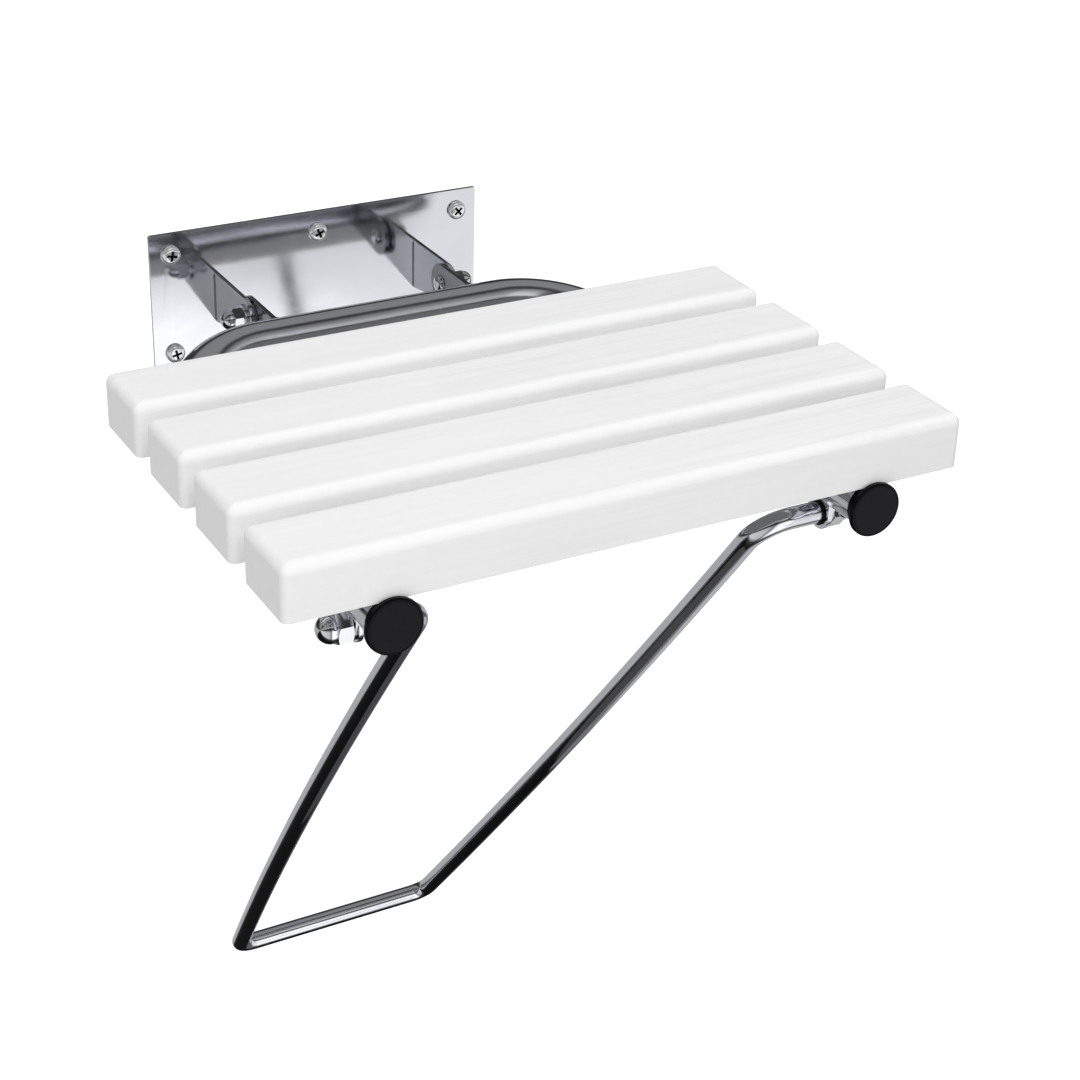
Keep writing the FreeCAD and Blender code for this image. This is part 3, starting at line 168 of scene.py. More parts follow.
def plastic(name, light, dark, rough, stretch, scale, depth, pores, coat=0.0, gloss=0.45, sheen_streaks=None):
    """Moulded plastic with a drawn-out flow pattern, fine pores and uneven gloss."""
    made, tree, shader = node_material(name)
    place = tree.nodes.new("ShaderNodeTexCoord").outputs["Object"]
    flow = noise(tree, place, scale, stretch, 5.0, 0.62)
    spots = noise(tree, place, 160.0, detail=3.0)
    mixed = tree.nodes.new("ShaderNodeMath")
    mixed.operation = "MULTIPLY_ADD"
    mixed.inputs[1].default_value = 0.65
    tree.links.new(flow, mixed.inputs[0])
    scaled = tree.nodes.new("ShaderNodeMath")
    scaled.operation = "MULTIPLY"
    scaled.inputs[1].default_value = 0.35
    tree.links.new(spots, scaled.inputs[0])
    tree.links.new(scaled.outputs[0], mixed.inputs[2])
    colour = ramp(tree, mixed.outputs[0], [(0.30, dark), (0.62, light)])
    if sheen_streaks:
        # painted sheen of fine lengthwise ridges on the moulding: pale and grey lines, gathered in patches
        lines = noise(tree, place, sheen_streaks[0], sheen_streaks[1], 2.0, 0.5)
        cloud = noise(tree, place, 7.0, (0.6, 1.0, 1.0), 2.0, 0.5)
        where = ranged(tree, cloud, 0.0, 1.0, 0.42, 0.62)
        shade_of = ramp(tree, lines, [(0.36, sheen_streaks[2]), (0.50, 1.0), (0.64, sheen_streaks[3])])
        blend = tree.nodes.new("ShaderNodeMix")
        blend.data_type = "RGBA"
        blend.blend_type = "MULTIPLY"
        tree.links.new(where, blend.inputs["Factor"])
        tree.links.new(colour, blend.inputs["A"])
        tree.links.new(shade_of, blend.inputs["B"])
        colour = blend.outputs["Result"]
    tree.links.new(colour, shader.inputs["Base Color"])
    tree.links.new(ranged(tree, flow, rough[0], rough[1]), shader.inputs["Roughness"])
    shader.inputs["Specular IOR Level"].default_value = gloss
    if coat:
        shader.inputs["Coat Weight"].default_value = coat
        shader.inputs["Coat Roughness"].default_value = 0.3
    bump(
        tree, shader,
        [
            (flow, 1.0, depth),
            (noise(tree, place, 1400.0, detail=2.0), 1.0, pores),
        ],
    )
    return made


# the slat tops carry painted sheen: streaks for the highlights on fine lengthwise ridges
slat_white = plastic(
    "slat_white", (0.87, 0.87, 0.87), (0.84, 0.84, 0.84), (0.40, 0.54), (0.06, 1.0, 1.0), 130.0, 0.00006, 0.000012,
    sheen_streaks=(330.0, (0.03, 1.0, 1.0), 0.955, 1.0),
)
cap_black = plastic("cap_black", (0.00611, 0.00637, 0.00854), (0.00329, 0.00343, 0.00488), (0.34, 0.48), (1.0, 1.0, 1.0), 90.0, 0.00004, 0.00002, gloss=0.13)
# a darker copy of the cap plastic, for painted shade on the cap's rounded rim and skirt
cap_rim_shade = plastic("cap_rim_shade", (0.0015, 0.00157, 0.0022), (0.00075, 0.00078, 0.00122), (0.16, 0.26), (1.0, 1.0, 1.0), 90.0, 0.00003, 0.00001, gloss=0.12)
nylon = plastic("nylon", (0.80, 0.80, 0.77), (0.74, 0.74, 0.70), (0.40, 0.52), (1.0, 1.0, 1.0), 120.0, 0.00003, 0.00001)


# ---------------------------------------------------------------------------
# Mesh building
# ---------------------------------------------------------------------------
class Mesh:
    """Points in millimetres, faces and, where wanted, a UV pair for each point."""

    def __init__(self):
        self.points, self.faces, self.uv = [], [], {}

    def add(self, points, faces, uv=None):
        base = len(self.points)
        self.points += [tuple(p) for p in points]
        self.faces += [tuple(base + i for i in f) for f in faces]
        if uv:
            for i, pair in enumerate(uv):
                self.uv[base + i] = pair
        return base

    def join(self, other, matrix=None):
        points = [tuple(matrix @ Vector(p)) for p in other.points] if matrix else other.points
        uv = [other.uv.get(i, (0, 0)) for i in range(len(other.points))] if other.uv else None
        self.add(points, other.faces, uv)
        return self


def shade(data, angle, merge=True):
    bm = bmesh.new()
    bm.from_mesh(data)
    if merge:
        bmesh.ops.remove_doubles(bm, verts=bm.verts, dist=2e-7)
        bmesh.ops.dissolve_degenerate(bm, dist=2e-7, edges=bm.edges)
    bmesh.ops.recalc_face_normals(bm, faces=bm.faces)
    limit = math.radians(angle)
    for face in bm.faces:
        face.smooth = True
    for edge in bm.edges:
        if len(edge.link_faces) != 2 or edge.calc_face_angle(0.0) > limit:
            edge.smooth = False
    bm.to_mesh(data)
    bm.free()


def piece(name, mesh, material, body, nodes, angle=35.0, flat=False, merge=True):
    """Makes the object, sets it on its CAD body and hides the CAD nodes it stands for."""
    if isinstance(mesh, Mesh):
        data = bpy.data.meshes.new(name)
        data.from_pydata([Vector(p) * MM for p in mesh.points], [], mesh.faces)
        if mesh.uv:
            layer = data.uv_layers.new(name="UVMap")
            for loop in data.loops:
                layer.data[loop.index].uv = mesh.uv.get(loop.vertex_index, (0, 0))
    else:
        data = mesh
    shade(data, angle, merge)
    made = bpy.data.objects.new(name, data)
    scene.collection.objects.link(made)
    data.materials.clear()
    data.materials.append(material)
    if flat:
        even = made.modifiers.new("even", "WEIGHTED_NORMAL")
        even.keep_sharp = True
        even.weight = 60
    if nodes:
        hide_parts(*nodes)
    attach(made, body)
    return made


def lathe(profile, segments=72, closed=False):
    """Turns (along, radius) points about the axis: local z runs along it."""
    mesh = Mesh()
    rings = []
    for along, radius in profile:
        if radius < 1e-6:
            rings.append([mesh.add([(0, 0, along)], [])])
        else:
            base = mesh.add(
                [
                    (radius * math.cos(2 * math.pi * k / segments), radius * math.sin(2 * math.pi * k / segments), along)
                    for k in range(segments)
                ],
                [],
            )
            rings.append([base + k for k in range(segments)])
    pairs = list(zip(rings[:-1], rings[1:]))
    if closed:
        pairs.append((rings[-1], rings[0]))
    for one, two in pairs:
        for k in range(segments):
            n = (k + 1) % segments
            if len(one) == 1 and len(two) == 1:
                continue
            if len(one) == 1:
                mesh.faces.append((one[0], two[k], two[n]))
            elif len(two) == 1:
                mesh.faces.append((one[k], one[n], two[0]))
            else:
                mesh.faces.append((one[k], one[n], two[n], two[k]))
    return mesh


ALONG_X = Matrix(((0, 0, 1, 0), (1, 0, 0, 0), (0, 1, 0, 0), (0, 0, 0, 1)))
ALONG_Y = Matrix(((1, 0, 0, 0), (0, 0, 1, 0), (0, -1, 0, 0), (0, 0, 0, 1)))
HALF_TURN = Matrix.Rotation(math.pi, 4, "Z")


def at(x, y, z):
    return Matrix.Translation(Vector((x, y, z)))


def moved(mesh, matrix):
    return Mesh().join(mesh, matrix)


def arc_points(cx, cy, radius, a, b, steps):
    return [
        (cx + radius * math.cos(a + (b - a) * k / steps), cy + radius * math.sin(a + (b - a) * k / steps))
        for k in range(steps + 1)
    ]


def inset(points, by):
    """A closed outline moved inward (to the left of a counter-clockwise outline) by a small distance."""
    out = []
    n = len(points)
    for i in range(n):
        a, b, c = Vector(points[i - 1]), Vector(points[i]), Vector(points[(i + 1) % n])
        u, w = (b - a), (c - b)
        if u.length < 1e-9 or w.length < 1e-9:
            out.append(tuple(b))
            continue
        u.normalize()
        w.normalize()
        m = Vector((-u.y, u.x)) + Vector((-w.y, w.x))
        m.normalize()
        cosine = max(0.3, m.dot(Vector((-u.y, u.x))))
        out.append(tuple(b + m * (by / cosine)))
    return out


def clean(points):
    out = []
    for p in points:
        if not out or math.dist(p, out[-1]) > 1e-4:
            out.append(p)
    if math.dist(out[0], out[-1]) < 1e-4:
        out.pop()
    return out


def sheet_metal(outline, holes, thick, edge=0.35):
    """A flat plate in local x, y from z 0 to its thickness, with softened edges and holes."""
    mesh = Mesh()
    loops = [clean(outline)] + [list(reversed(clean(h))) for h in holes]
    steps = [(0.0, edge), (edge * 0.29, edge * 0.29), (edge, 0.0)]
    levels = [(z, d) for z, d in steps] + [(thick - z, d) for z, d in reversed(steps)]
    caps = {0: [], len(levels) - 1: []}
    for loop in loops:
        rings = []
        for k, (z, d) in enumerate(levels):
            ring = inset(loop, d) if d else loop
            base = mesh.add([(x, y, z) for x, y in ring], [])
            rings.append(base)
            if k in caps:
                caps[k].append((base, ring))
        n = len(loop)
        for a, b in zip(rings[:-1], rings[1:]):
            for i in range(n):
                j = (i + 1) % n
                mesh.faces.append((a + i, a + j, b + j, b + i))
    for k, parts in caps.items():
        ids = [base + i for base, ring in parts for i in range(len(ring))]
        for tri in tessellate_polygon([[Vector((x, y, 0)) for x, y in ring] for _, ring in parts]):
            mesh.faces.append(tuple(ids[i] for i in tri))
    return mesh


def sweep(path, radius, segments=48, closed_ends=True, wall=None, radii=None, up=Vector((0, 0, 1))):
    """A round bar or, with a wall, a tube along a line of points. The UV runs around and along in centimetres."""
    pts = [Vector(p) for p in path]
    tangents = []
    for i in range(len(pts)):
        if i == 0:
            t = pts[1] - pts[0]
        elif i == len(pts) - 1:
            t = pts[-1] - pts[-2]
        else:
            t = (pts[i] - pts[i - 1]).normalized() + (pts[i + 1] - pts[i]).normalized()
        tangents.append(t.normalized())
    normal = (up - tangents[0] * up.dot(tangents[0])).normalized()
    frames = []
    for i, t in enumerate(tangents):
        if i:
            turn = tangents[i - 1].rotation_difference(t)
            normal = turn @ normal
            normal = (normal - t * normal.dot(t)).normalized()
        frames.append((normal.copy(), t.cross(normal)))
    mesh = Mesh()

    def skin(size, flip):
        rows = []
        length = 0.0
        for i, p in enumerate(pts):
            if i:
                length += (pts[i] - pts[i - 1]).length
            n, b = frames[i]
            r = size * (radii[i] if radii else 1.0)
            ring, uv = [], []
            for k in range(segments + 1):
                a = 2 * math.pi * k / segments
                ring.append(p + n * (r * math.cos(a)) + b * (r * math.sin(a)))
                uv.append((size * a / 10.0, length / 10.0))
            rows.append(mesh.add(ring, [], uv))
        for a, b in zip(rows[:-1], rows[1:]):
            for k in range(segments):
                f = (a + k, a + k + 1, b + k + 1, b + k)
                mesh.faces.append(tuple(reversed(f)) if flip else f)
        return rows

    outer = skin(radius, False)
    if wall:
        inner = skin(radius - wall, True)
        for a, b in ((outer[0], inner[0]), (outer[-1], inner[-1])):
            for k in range(segments):
                mesh.faces.append((a + k, a + k + 1, b + k + 1, b + k))
    elif closed_ends:
        for row in (outer[0], outer[-1]):
            mesh.faces.append(tuple(row + k for k in range(segments)))
    return mesh


# ---------------------------------------------------------------------------
# Wall plate and lugs
# ---------------------------------------------------------------------------
def rounded_rectangle(hx, hy, r, steps=8):
    out = []
    for cx, cy, a in ((hx - r, -hy + r, -90), (hx - r, hy - r, 0), (-hx + r, hy - r, 90), (-hx + r, -hy + r, 180)):
        out += arc_points(cx, cy, r, math.radians(a), math.radians(a + 90), steps)
    return clean(out)


def hole(x, y, r, steps=40):
    return [(x + r * math.cos(2 * math.pi * k / steps), y + r * math.sin(2 * math.pi * k / steps)) for k in range(steps)]


# local x, y of a plate square to the wall become world y, z, and its thickness runs along x
YZ_PLANE = Matrix(((0, 0, 1, 0), (1, 0, 0, 0), (0, 1, 0, 0), (0, 0, 0, 1)))
# local x, y become world x, z, and the thickness runs toward -y
XZ_PLANE = Matrix(((1, 0, 0, 0), (0, 0, -1, 0), (0, 1, 0, 0), (0, 0, 0, 1)))

plate = sheet_metal(
    rounded_rectangle(PLATE_X / 2, PLATE_Z / 2, PLATE_R),
    [hole(x, z, 2.75) for x in (-SCREW_X, 0, SCREW_X) for z in (-SCREW_Z, SCREW_Z)],
    PLATE_T,
)
piece("wall_plate_sheet", moved(plate, XZ_PLANE), plate_steel, "wall_bracket", ["wall_plate"], flat=True)


def tangent_point(outside, centre, radius, side):
    dx, dy = outside[0] - centre[0], outside[1] - centre[1]
    base, swing = math.atan2(dy, dx), math.acos(radius / math.hypot(dx, dy))
    return (centre[0] + radius * math.cos(base + side * swing), centre[1] + radius * math.sin(base + side * swing))


def lug_outline():
    hy, hz = HINGE
    wall, low = -PLATE_T, (-PLATE_T, -16.5)
    touch = min((tangent_point(low, (hy, hz), NOSE, s) for s in (-1, 1)), key=lambda p: p[1])
    end = math.atan2(touch[1] - hz, touch[0] - hy) % (2 * math.pi)
    return [low, (wall, hz + NOSE)] + arc_points(hy, hz, NOSE, math.pi / 2, end, 40)


for side, tag in ((-1, "left"), (1, "right")):
    lug = sheet_metal(lug_outline(), [hole(HINGE[0], HINGE[1], 4.0)], LUG_T)
    x = LUG_IN if side > 0 else -LUG_IN - LUG_T
    piece(
        "wall_lug_%s_sheet" % tag, moved(lug, at(x, 0, 0) @ YZ_PLANE), tab_steel, "wall_bracket",
        ["wall_lug_" + tag], flat=True,
    )


def weld(points, radius, seed, ripple=0.08):
    """A small bead along a seam, rippled as it was laid."""
    rnd = random.Random(seed)
    line = []
    for a, b in zip(points[:-1], points[1:]):
        a, b = Vector(a), Vector(b)
        n = max(1, int((b - a).length / 0.45))
        line += [a + (b - a) * (k / n) for k in range(n)]
    line.append(Vector(points[-1]))
    sizes = []
    total = len(line) - 1
    for i in range(len(line)):
        end = min(1.0, 0.25 + min(i, total - i) * 0.22)
        sizes.append(end * (0.93 + ripple * math.sin(i * 1.15) + ripple * 0.4 * rnd.random()))
    return sweep(line, radius, 14, radii=sizes, up=Vector((1, 0.3, 0.1)))


for side, tag in ((-1, "left"), (1, "right")):
    bead = Mesh()
    for n, x in enumerate((LUG_IN, LUG_IN + LUG_T)):
        bead.join(weld([(side * x, -PLATE_T + 0.1, -15.6), (side * x, -PLATE_T + 0.1, 16.2)], 0.75, 10 + n, 0.02))
    piece("wall_lug_%s_welds" % tag, bead, weld_steel, "wall_bracket", [], angle=60)


# ---------------------------------------------------------------------------
# Screws with a cross recess and a cut thread
# ---------------------------------------------------------------------------
def threaded(start, end, core, crest, pitch, tip, segments=36, per_turn=12):
    """A screw thread along local z: the radius follows a helix, and runs out to a point."""
    mesh = Mesh()
    steps = int((end - start) / pitch * per_turn)
    rows = []
    for i in range(steps + 1):
        z = start + (end - start) * i / steps
        ring = []
        for k in range(segments + 1):
            a = k / segments
            phase = ((z - start) / pitch - a) % 1.0
            ridge = max(0.0, 1.0 - abs(phase - 0.5) * 3.2)
            r = core + (crest - core) * ridge
            r *= min(1.0, (z - start) / 1.2 * 0.2 + 0.8)
            r = max(0.05, min(r, core + (crest - core) * (end - z) / 3.0 if z > end - 3 and crest > core else r))
            if z > end - tip:
                r = max(0.05, r * (end - z) / tip)
            ring.append((r * math.cos(2 * math.pi * a), r * math.sin(2 * math.pi * a), z))
        rows.append(mesh.add(ring, []))
    for a, b in zip(rows[:-1], rows[1:]):
        for k in range(segments):
            mesh.faces.append((a + k, a + k + 1, b + k + 1, b + k))
    mesh.faces.append(tuple(rows[0] + k for k in range(segments)))
    mesh.faces.append(tuple(rows[-1] + k for k in range(segments)))
    return mesh


def to_object(name, mesh, angle=35.0):
    data = bpy.data.meshes.new(name)
    data.from_pydata([Vector(p) * MM for p in mesh.points], [], mesh.faces)
    bm = bmesh.new()
    bm.from_mesh(data)
    bmesh.ops.remove_doubles(bm, verts=bm.verts, dist=2e-7)
    bmesh.ops.recalc_face_normals(bm, faces=bm.faces)
    bm.to_mesh(data)
    bm.free()
    made = bpy.data.objects.new(name, data)
    scene.collection.objects.link(made)
    return made


def cut(name, base, tools):
    """The base less the tools, as mesh data."""
    body = to_object(name + "_base", base)
    made = []
    for n, tool in enumerate(tools):
        cutter = to_object("%s_tool_%d" % (name, n), tool)
        mod = body.modifiers.new("cut", "BOOLEAN")
        mod.operation = "DIFFERENCE"
        mod.solver = "EXACT"
        mod.object = cutter
        made.append(cutter)
    bpy.context.view_layer.update()
    data = bpy.data.meshes.new_from_object(body.evaluated_get(bpy.context.evaluated_depsgraph_get()))
    data.name = name
    for o in made + [body]:
        spare = o.data
        bpy.data.objects.remove(o)
        bpy.data.meshes.remove(spare)
    return data


def cross_cutter(top, reach, half, depth):
    """A tapered cross for a screw recess: local z runs into the head."""
    mesh = Mesh()
    for turn in (0, math.pi / 2):
        c, s = math.cos(turn), math.sin(turn)
        ring = []
        for z, r, w in ((top - 0.5, reach * 1.06, half * 1.05), (top + depth, reach * 0.42, half * 0.72)):
            corners = [(-r, -w), (r, -w), (r, w), (-r, w)]
            ring.append([(c * x - s * y, s * x + c * y, z) for x, y in corners])
        part = Mesh()
        part.add(ring[0] + ring[1], [(0, 1, 2, 3), (7, 6, 5, 4), (0, 4, 5, 1), (1, 5, 6, 2), (2, 6, 7, 3), (3, 7, 4, 0)])
        mesh.join(part)
    return mesh


def split(mesh, count):
    """The separate boxes of a cutter, since each is cut in turn."""
    out = []
    size = len(mesh.points) // count
    faces = len(mesh.faces) // count
    for n in range(count):
        part = Mesh()
        part.add(mesh.points[n * size:(n + 1) * size], [tuple(i - n * size for i in f) for f in mesh.faces[n * faces:(n + 1) * faces]])
        out.append(part)
    return out


def pan_screw(name, head_r, head_h, core, crest, pitch, long, tip, recess, segments=64):
    """Local z: the head's underside is at 0, the head stands to -z and the shank runs to +z."""
    rim = head_h * 0.34
    head = [(-head_h, 0.0), (-head_h, head_r * 0.40)]
    for k in range(1, 11):
        a = math.pi / 2 * k / 10
        head.append((-rim - (head_h - rim) * math.cos(a), head_r * 0.40 + head_r * 0.60 * math.sin(a)))
    head += [(-0.25, head_r), (0.0, head_r - 0.25), (0.0, crest)]
    head += [(0.0, core), (0.3, core), (0.3, 0.0)]
    reach, half, depth = recess
    solid = cut(name, lathe(head, segments), split(cross_cutter(-head_h, reach, half, depth), 2))
    thread = threaded(0.0, long, core, crest, pitch, tip)
    bm = bmesh.new()
    bm.from_mesh(solid)
    extra = bpy.data.meshes.new("thread")
    extra.from_pydata([Vector(p) * MM for p in thread.points], [], thread.faces)
    bm.from_mesh(extra)
    bm.to_mesh(solid)
    bm.free()
    bpy.data.meshes.remove(extra)
    return solid


def darken(screw, matrix, high, depth):
    """Paints shade into the cross recess, and a painted shadow ring on the narrow step under the head's rim, with the
    dull near-black metal.
    """
    screw.data.materials.append(recess_shade_steel)
    back = matrix.inverted()
    for face in screw.data.polygons:
        c = back @ face.center / MM
        n = (back.to_3x3() @ face.normal).normalized()
        r = math.hypot(c.x, c.y)
        inside = -high - 0.1 < c.z < -high + depth + 0.3 and r < 3.9
        outward = n.z < -0.2 and (n.x * c.x + n.y * c.y) > -0.05
        floor_face = inside and c.z > -high + depth - 0.2
        wall_face = inside and abs(n.z) < 0.75 and c.z < -high + depth and not (outward and r > 2.4)
        if floor_face or wall_face or (c.z > -0.3 and c.z < 0.01 and r > 4.0):
            face.material_index = 1


# local z runs into the wall for these
wall_screw = pan_screw("wall_screw", 6.2, 3.6, 2.05, 2.75, 2.3, 37.0, 7.0, (3.6, 0.85, 2.4))
turns = [12, -24, 51, 78, 33, 64]
n = 0
for z in (SCREW_Z, -SCREW_Z):
    for x in (-SCREW_X, 0.0, SCREW_X):
        data = wall_screw.copy()
        m = at(x * MM, -PLATE_T * MM, z * MM) @ ALONG_Y @ Matrix.Rotation(math.radians(turns[n]), 4, "Z")
        data.transform(m)
        screw = piece("wall_screw_%d" % (n + 1), data, head_steel, "wall_bracket", ["wall_screws"], angle=38, merge=False)
        darken(screw, m, 3.6, 2.4)
        n += 1


# ---------------------------------------------------------------------------
# Hinge hardware
# ---------------------------------------------------------------------------
def hex_body(flats, high, face_ratio=0.97, per_side=14):
    """A hexagon with both faces turned back to a circle: local z from 0 to its height."""
    mesh = Mesh()
    apothem = flats / 2
    ring_r = apothem * face_ratio
    total = per_side * 6
    lows, lens = [], []
    rows = [[], [], [], []]
    for k in range(total):
        a = 2 * math.pi * k / total
        local = (a % (math.pi / 3)) - math.pi / 6
        r = apothem / math.cos(local)
        drop = max(0.0, (r - ring_r) * math.tan(math.radians(30)))
        c, s = math.cos(a), math.sin(a)
        rows[0].append((ring_r * c, ring_r * s, 0.0))
        rows[1].append((r * c, r * s, drop))
        rows[2].append((r * c, r * s, high - drop))
        rows[3].append((ring_r * c, ring_r * s, high))
    bases = [mesh.add(row, []) for row in rows]
    for a, b in zip(bases[:-1], bases[1:]):
        for k in range(total):
            j = (k + 1) % total
            mesh.faces.append((a + k, a + j, b + j, b + k))
    mesh.faces.append(tuple(bases[0] + k for k in range(total)))
    mesh.faces.append(tuple(bases[3] + k for k in range(total)))
    return mesh


def acorn_nut(turn, flats, high, dome_r):
    nut = moved(hex_body(flats, high), Matrix.Rotation(turn, 4, "Z"))
    dome = [
        (high - 0.3, 0.0), (high - 0.3, dome_r - 0.4), (high, dome_r - 0.25), (high + 0.25, dome_r - 0.05),
        (high + 0.6, dome_r), (high + 1.0, dome_r),
    ]
    for k in range(1, 17):
        a = math.pi / 2 * k / 16
        dome.append((high + 1.0 + dome_r * math.sin(a), dome_r * math.cos(a) if k < 16 else 0.0))
    nut.join(lathe(dome, 72))
    return nut


hy, hz = HINGE
BOLT_R, BOLT_HEAD, BOLT_HIGH, WASHER_R, WASHER_T = 4.0, 5.4, 3.2, 8.5, 1.6
nut_seat = LUG_IN + LUG_T + WASHER_T
for side, tag in ((-1, "left"), (1, "right")):
    flip = Matrix.Identity(4) if side > 0 else HALF_TURN
    hinge = at(0, hy, hz) @ flip @ ALONG_X
    start = TAB_OUT - TAB_T - 0.2
    bolt = [(start - BOLT_HIGH, 0.0), (start - BOLT_HIGH, 1.0)]
    for k in range(0, 11):
        a = math.radians(12) + (math.pi / 2 - math.radians(12)) * k / 10
        bolt.append((start - 0.8 - (BOLT_HIGH - 0.8) * math.cos(a) / math.cos(math.radians(12)), BOLT_HEAD * math.sin(a)))
    bolt += [
        (start - 0.2, BOLT_HEAD), (start, BOLT_HEAD - 0.2), (start, BOLT_R), (nut_seat + 8.0, BOLT_R),
        (nut_seat + 9.0, BOLT_R - 1.0), (nut_seat + 9.0, 0.0),
    ]
    piece("hinge_bolt_" + tag, moved(lathe(bolt), hinge), bright_steel, "wall_bracket", ["hinge_bolts"])
    x0, x1 = LUG_IN + LUG_T, LUG_IN + LUG_T + WASHER_T
    washer = [
        (x0, BOLT_R + 0.05), (x0, WASHER_R - 0.4), (x0 + 0.12, WASHER_R - 0.12), (x0 + 0.4, WASHER_R),
        (x1 - 0.4, WASHER_R), (x1 - 0.12, WASHER_R - 0.12), (x1, WASHER_R - 0.4), (x1, BOLT_R + 0.05),
    ]
    piece("hinge_washer_" + tag, moved(lathe(washer, closed=True), hinge), bright_steel, "wall_bracket", ["hinge_washers"])
    nut = moved(acorn_nut(math.radians(23 if side < 0 else 41), 13.0, 6.5, 6.0), hinge @ at(0, 0, nut_seat))
    piece("hinge_acorn_nut_" + tag, nut, bright_steel, "wall_bracket", ["hinge_acorn_nuts"])
    x0, x1 = TAB_OUT - TAB_T, TAB_OUT
    bush = [
        (x0, 4.05), (x0 + 0.1, 5.1), (x0 + 0.3, 5.2), (x1, 5.2), (x1, 7.85), (x1 + 0.15, 8.0),
        (x1 + 0.75, 8.0), (x1 + 0.9, 7.85), (x1 + 0.9, 4.05),
    ]
    piece("hinge_bush_%s_ring" % tag, moved(lathe(bush, closed=True), hinge), nylon, "seat", ["hinge_bush_" + tag])

# ---------------------------------------------------------------------------
# Frame tube, tabs and caps
# ---------------------------------------------------------------------------
y_bent = CRANK_Y + CRANK_R * math.sin(CRANK_A)
z_bent = SIDE_Z + CRANK_R * (1 - math.cos(CRANK_A))
slope = Vector((0, math.cos(CRANK_A), math.sin(CRANK_A)))


def corner(side, a):
    return Vector((side * (SIDE_X - CORNER_R + CORNER_R * math.cos(a)), y_bent, z_bent)) + slope * (CORNER_R * math.sin(a))


def half_frame(side):
    pts = [Vector((side * SIDE_X, FRONT_Y + (CRANK_Y - FRONT_Y) * k / 12, SIDE_Z)) for k in range(12)]
    pts += [
        Vector((side * SIDE_X, CRANK_Y + CRANK_R * math.sin(CRANK_A * k / 6), SIDE_Z + CRANK_R * (1 - math.cos(CRANK_A * k / 6))))
        for k in range(6)
    ]
    pts += [corner(side, math.pi / 2 * k / 36) for k in range(37)]
    return pts


left_half, right_half = half_frame(-1), half_frame(1)
bar = [left_half[-1].lerp(right_half[-1], k / 8) for k in range(1, 8)]
tube_line = left_half + bar + list(reversed(right_half))
piece(
    "frame_tube_skin", sweep(tube_line, TUBE_R, 72, wall=TUBE_WALL), tube_steel, "seat", ["frame_tube"],
)
bar_y, bar_z = left_half[-1].y, left_half[-1].z


def frame_tab_outline():
    """From the hinge's round end forward to the back bar, along the bar's own circle, and back."""
    low = Vector((hy, hz - NOSE))
    front = Vector((bar_y, bar_z - 7.0))
    centre = Vector((bar_y, bar_z))
    d = front - low
    # where the lower edge meets the bar
    a, b, c = d.dot(d), 2 * d.dot(low - centre), (low - centre).dot(low - centre) - TUBE_R ** 2
    t = (-b - math.sqrt(b * b - 4 * a * c)) / (2 * a)
    meet = low + d * t
    top_z = hz + NOSE
    top_y = bar_y + math.sqrt(TUBE_R ** 2 - (top_z - bar_z) ** 2)
    a0 = math.atan2(top_z - bar_z, top_y - bar_y)
    a1 = math.atan2(meet.y - bar_z, meet.x - bar_y)
    out = [(top_y, top_z)]
    out += arc_points(bar_y, bar_z, TUBE_R, a0, a1, 16)
    out += [tuple(meet), tuple(low)]
    out += arc_points(hy, hz, NOSE, -math.pi / 2, math.pi / 2, 36)
    return clean(out), a0, a1


tab_line, seam_top, seam_low = frame_tab_outline()
for side, tag in ((-1, "left"), (1, "right")):
    tab = sheet_metal(tab_line, [hole(hy, hz, 5.2)], TAB_T)
    x = TAB_OUT - TAB_T if side > 0 else -TAB_OUT
    piece(
        "frame_tab_%s_sheet" % tag, moved(tab, at(x, 0, 0) @ YZ_PLANE), dull_steel, "seat",
        ["frame_tab_" + tag], flat=True,
    )
    bead = Mesh()
    for n, x in enumerate((TAB_OUT, TAB_OUT - TAB_T)):
        seam = [
            (side * x, bar_y + (TUBE_R + 0.1) * math.cos(seam_top + (seam_low - seam_top) * k / 14), bar_z + (TUBE_R + 0.1) * math.sin(seam_top + (seam_low - seam_top) * k / 14))
            for k in range(15)
        ]
        bead.join(weld(seam, 1.5, 20 + n))
    top = [
        (side * (TAB_OUT - TAB_T + TAB_T * k / 6), bar_y + (TUBE_R + 0.1) * math.cos(seam_top), bar_z + (TUBE_R + 0.1) * math.sin(seam_top))
        for k in range(7)
    ]
    bead.join(weld(top, 1.4, 24))
    piece("frame_tab_%s_welds" % tag, bead, weld_steel, "seat", [], angle=60)

cap = [(CAP_Y, 0.0), (CAP_Y, CAP_R - 2.0), (CAP_Y + 0.25, CAP_R - 1.8), (CAP_Y + 0.25, CAP_R - 1.5), (CAP_Y, CAP_R - 1.3)]
for k in range(1, 9):
    a = math.pi / 2 * k / 8
    cap.append((CAP_Y + 1.3 - 1.3 * math.cos(a), CAP_R - 1.3 + 1.3 * math.sin(a)))
cap += [
    (CAP_Y + 2.9, CAP_R), (SLAT_FRONT, 12.45), (FRONT_Y, 12.45), (FRONT_Y, 11.0), (FRONT_Y + 4, 11.0), (FRONT_Y + 4, 10.3),
    (FRONT_Y + 6, 10.3), (FRONT_Y + 6, 11.0), (FRONT_Y + 10, 11.0), (FRONT_Y + 10, 10.3), (FRONT_Y + 13.5, 9.4), (FRONT_Y + 13.5, 0.0),
]
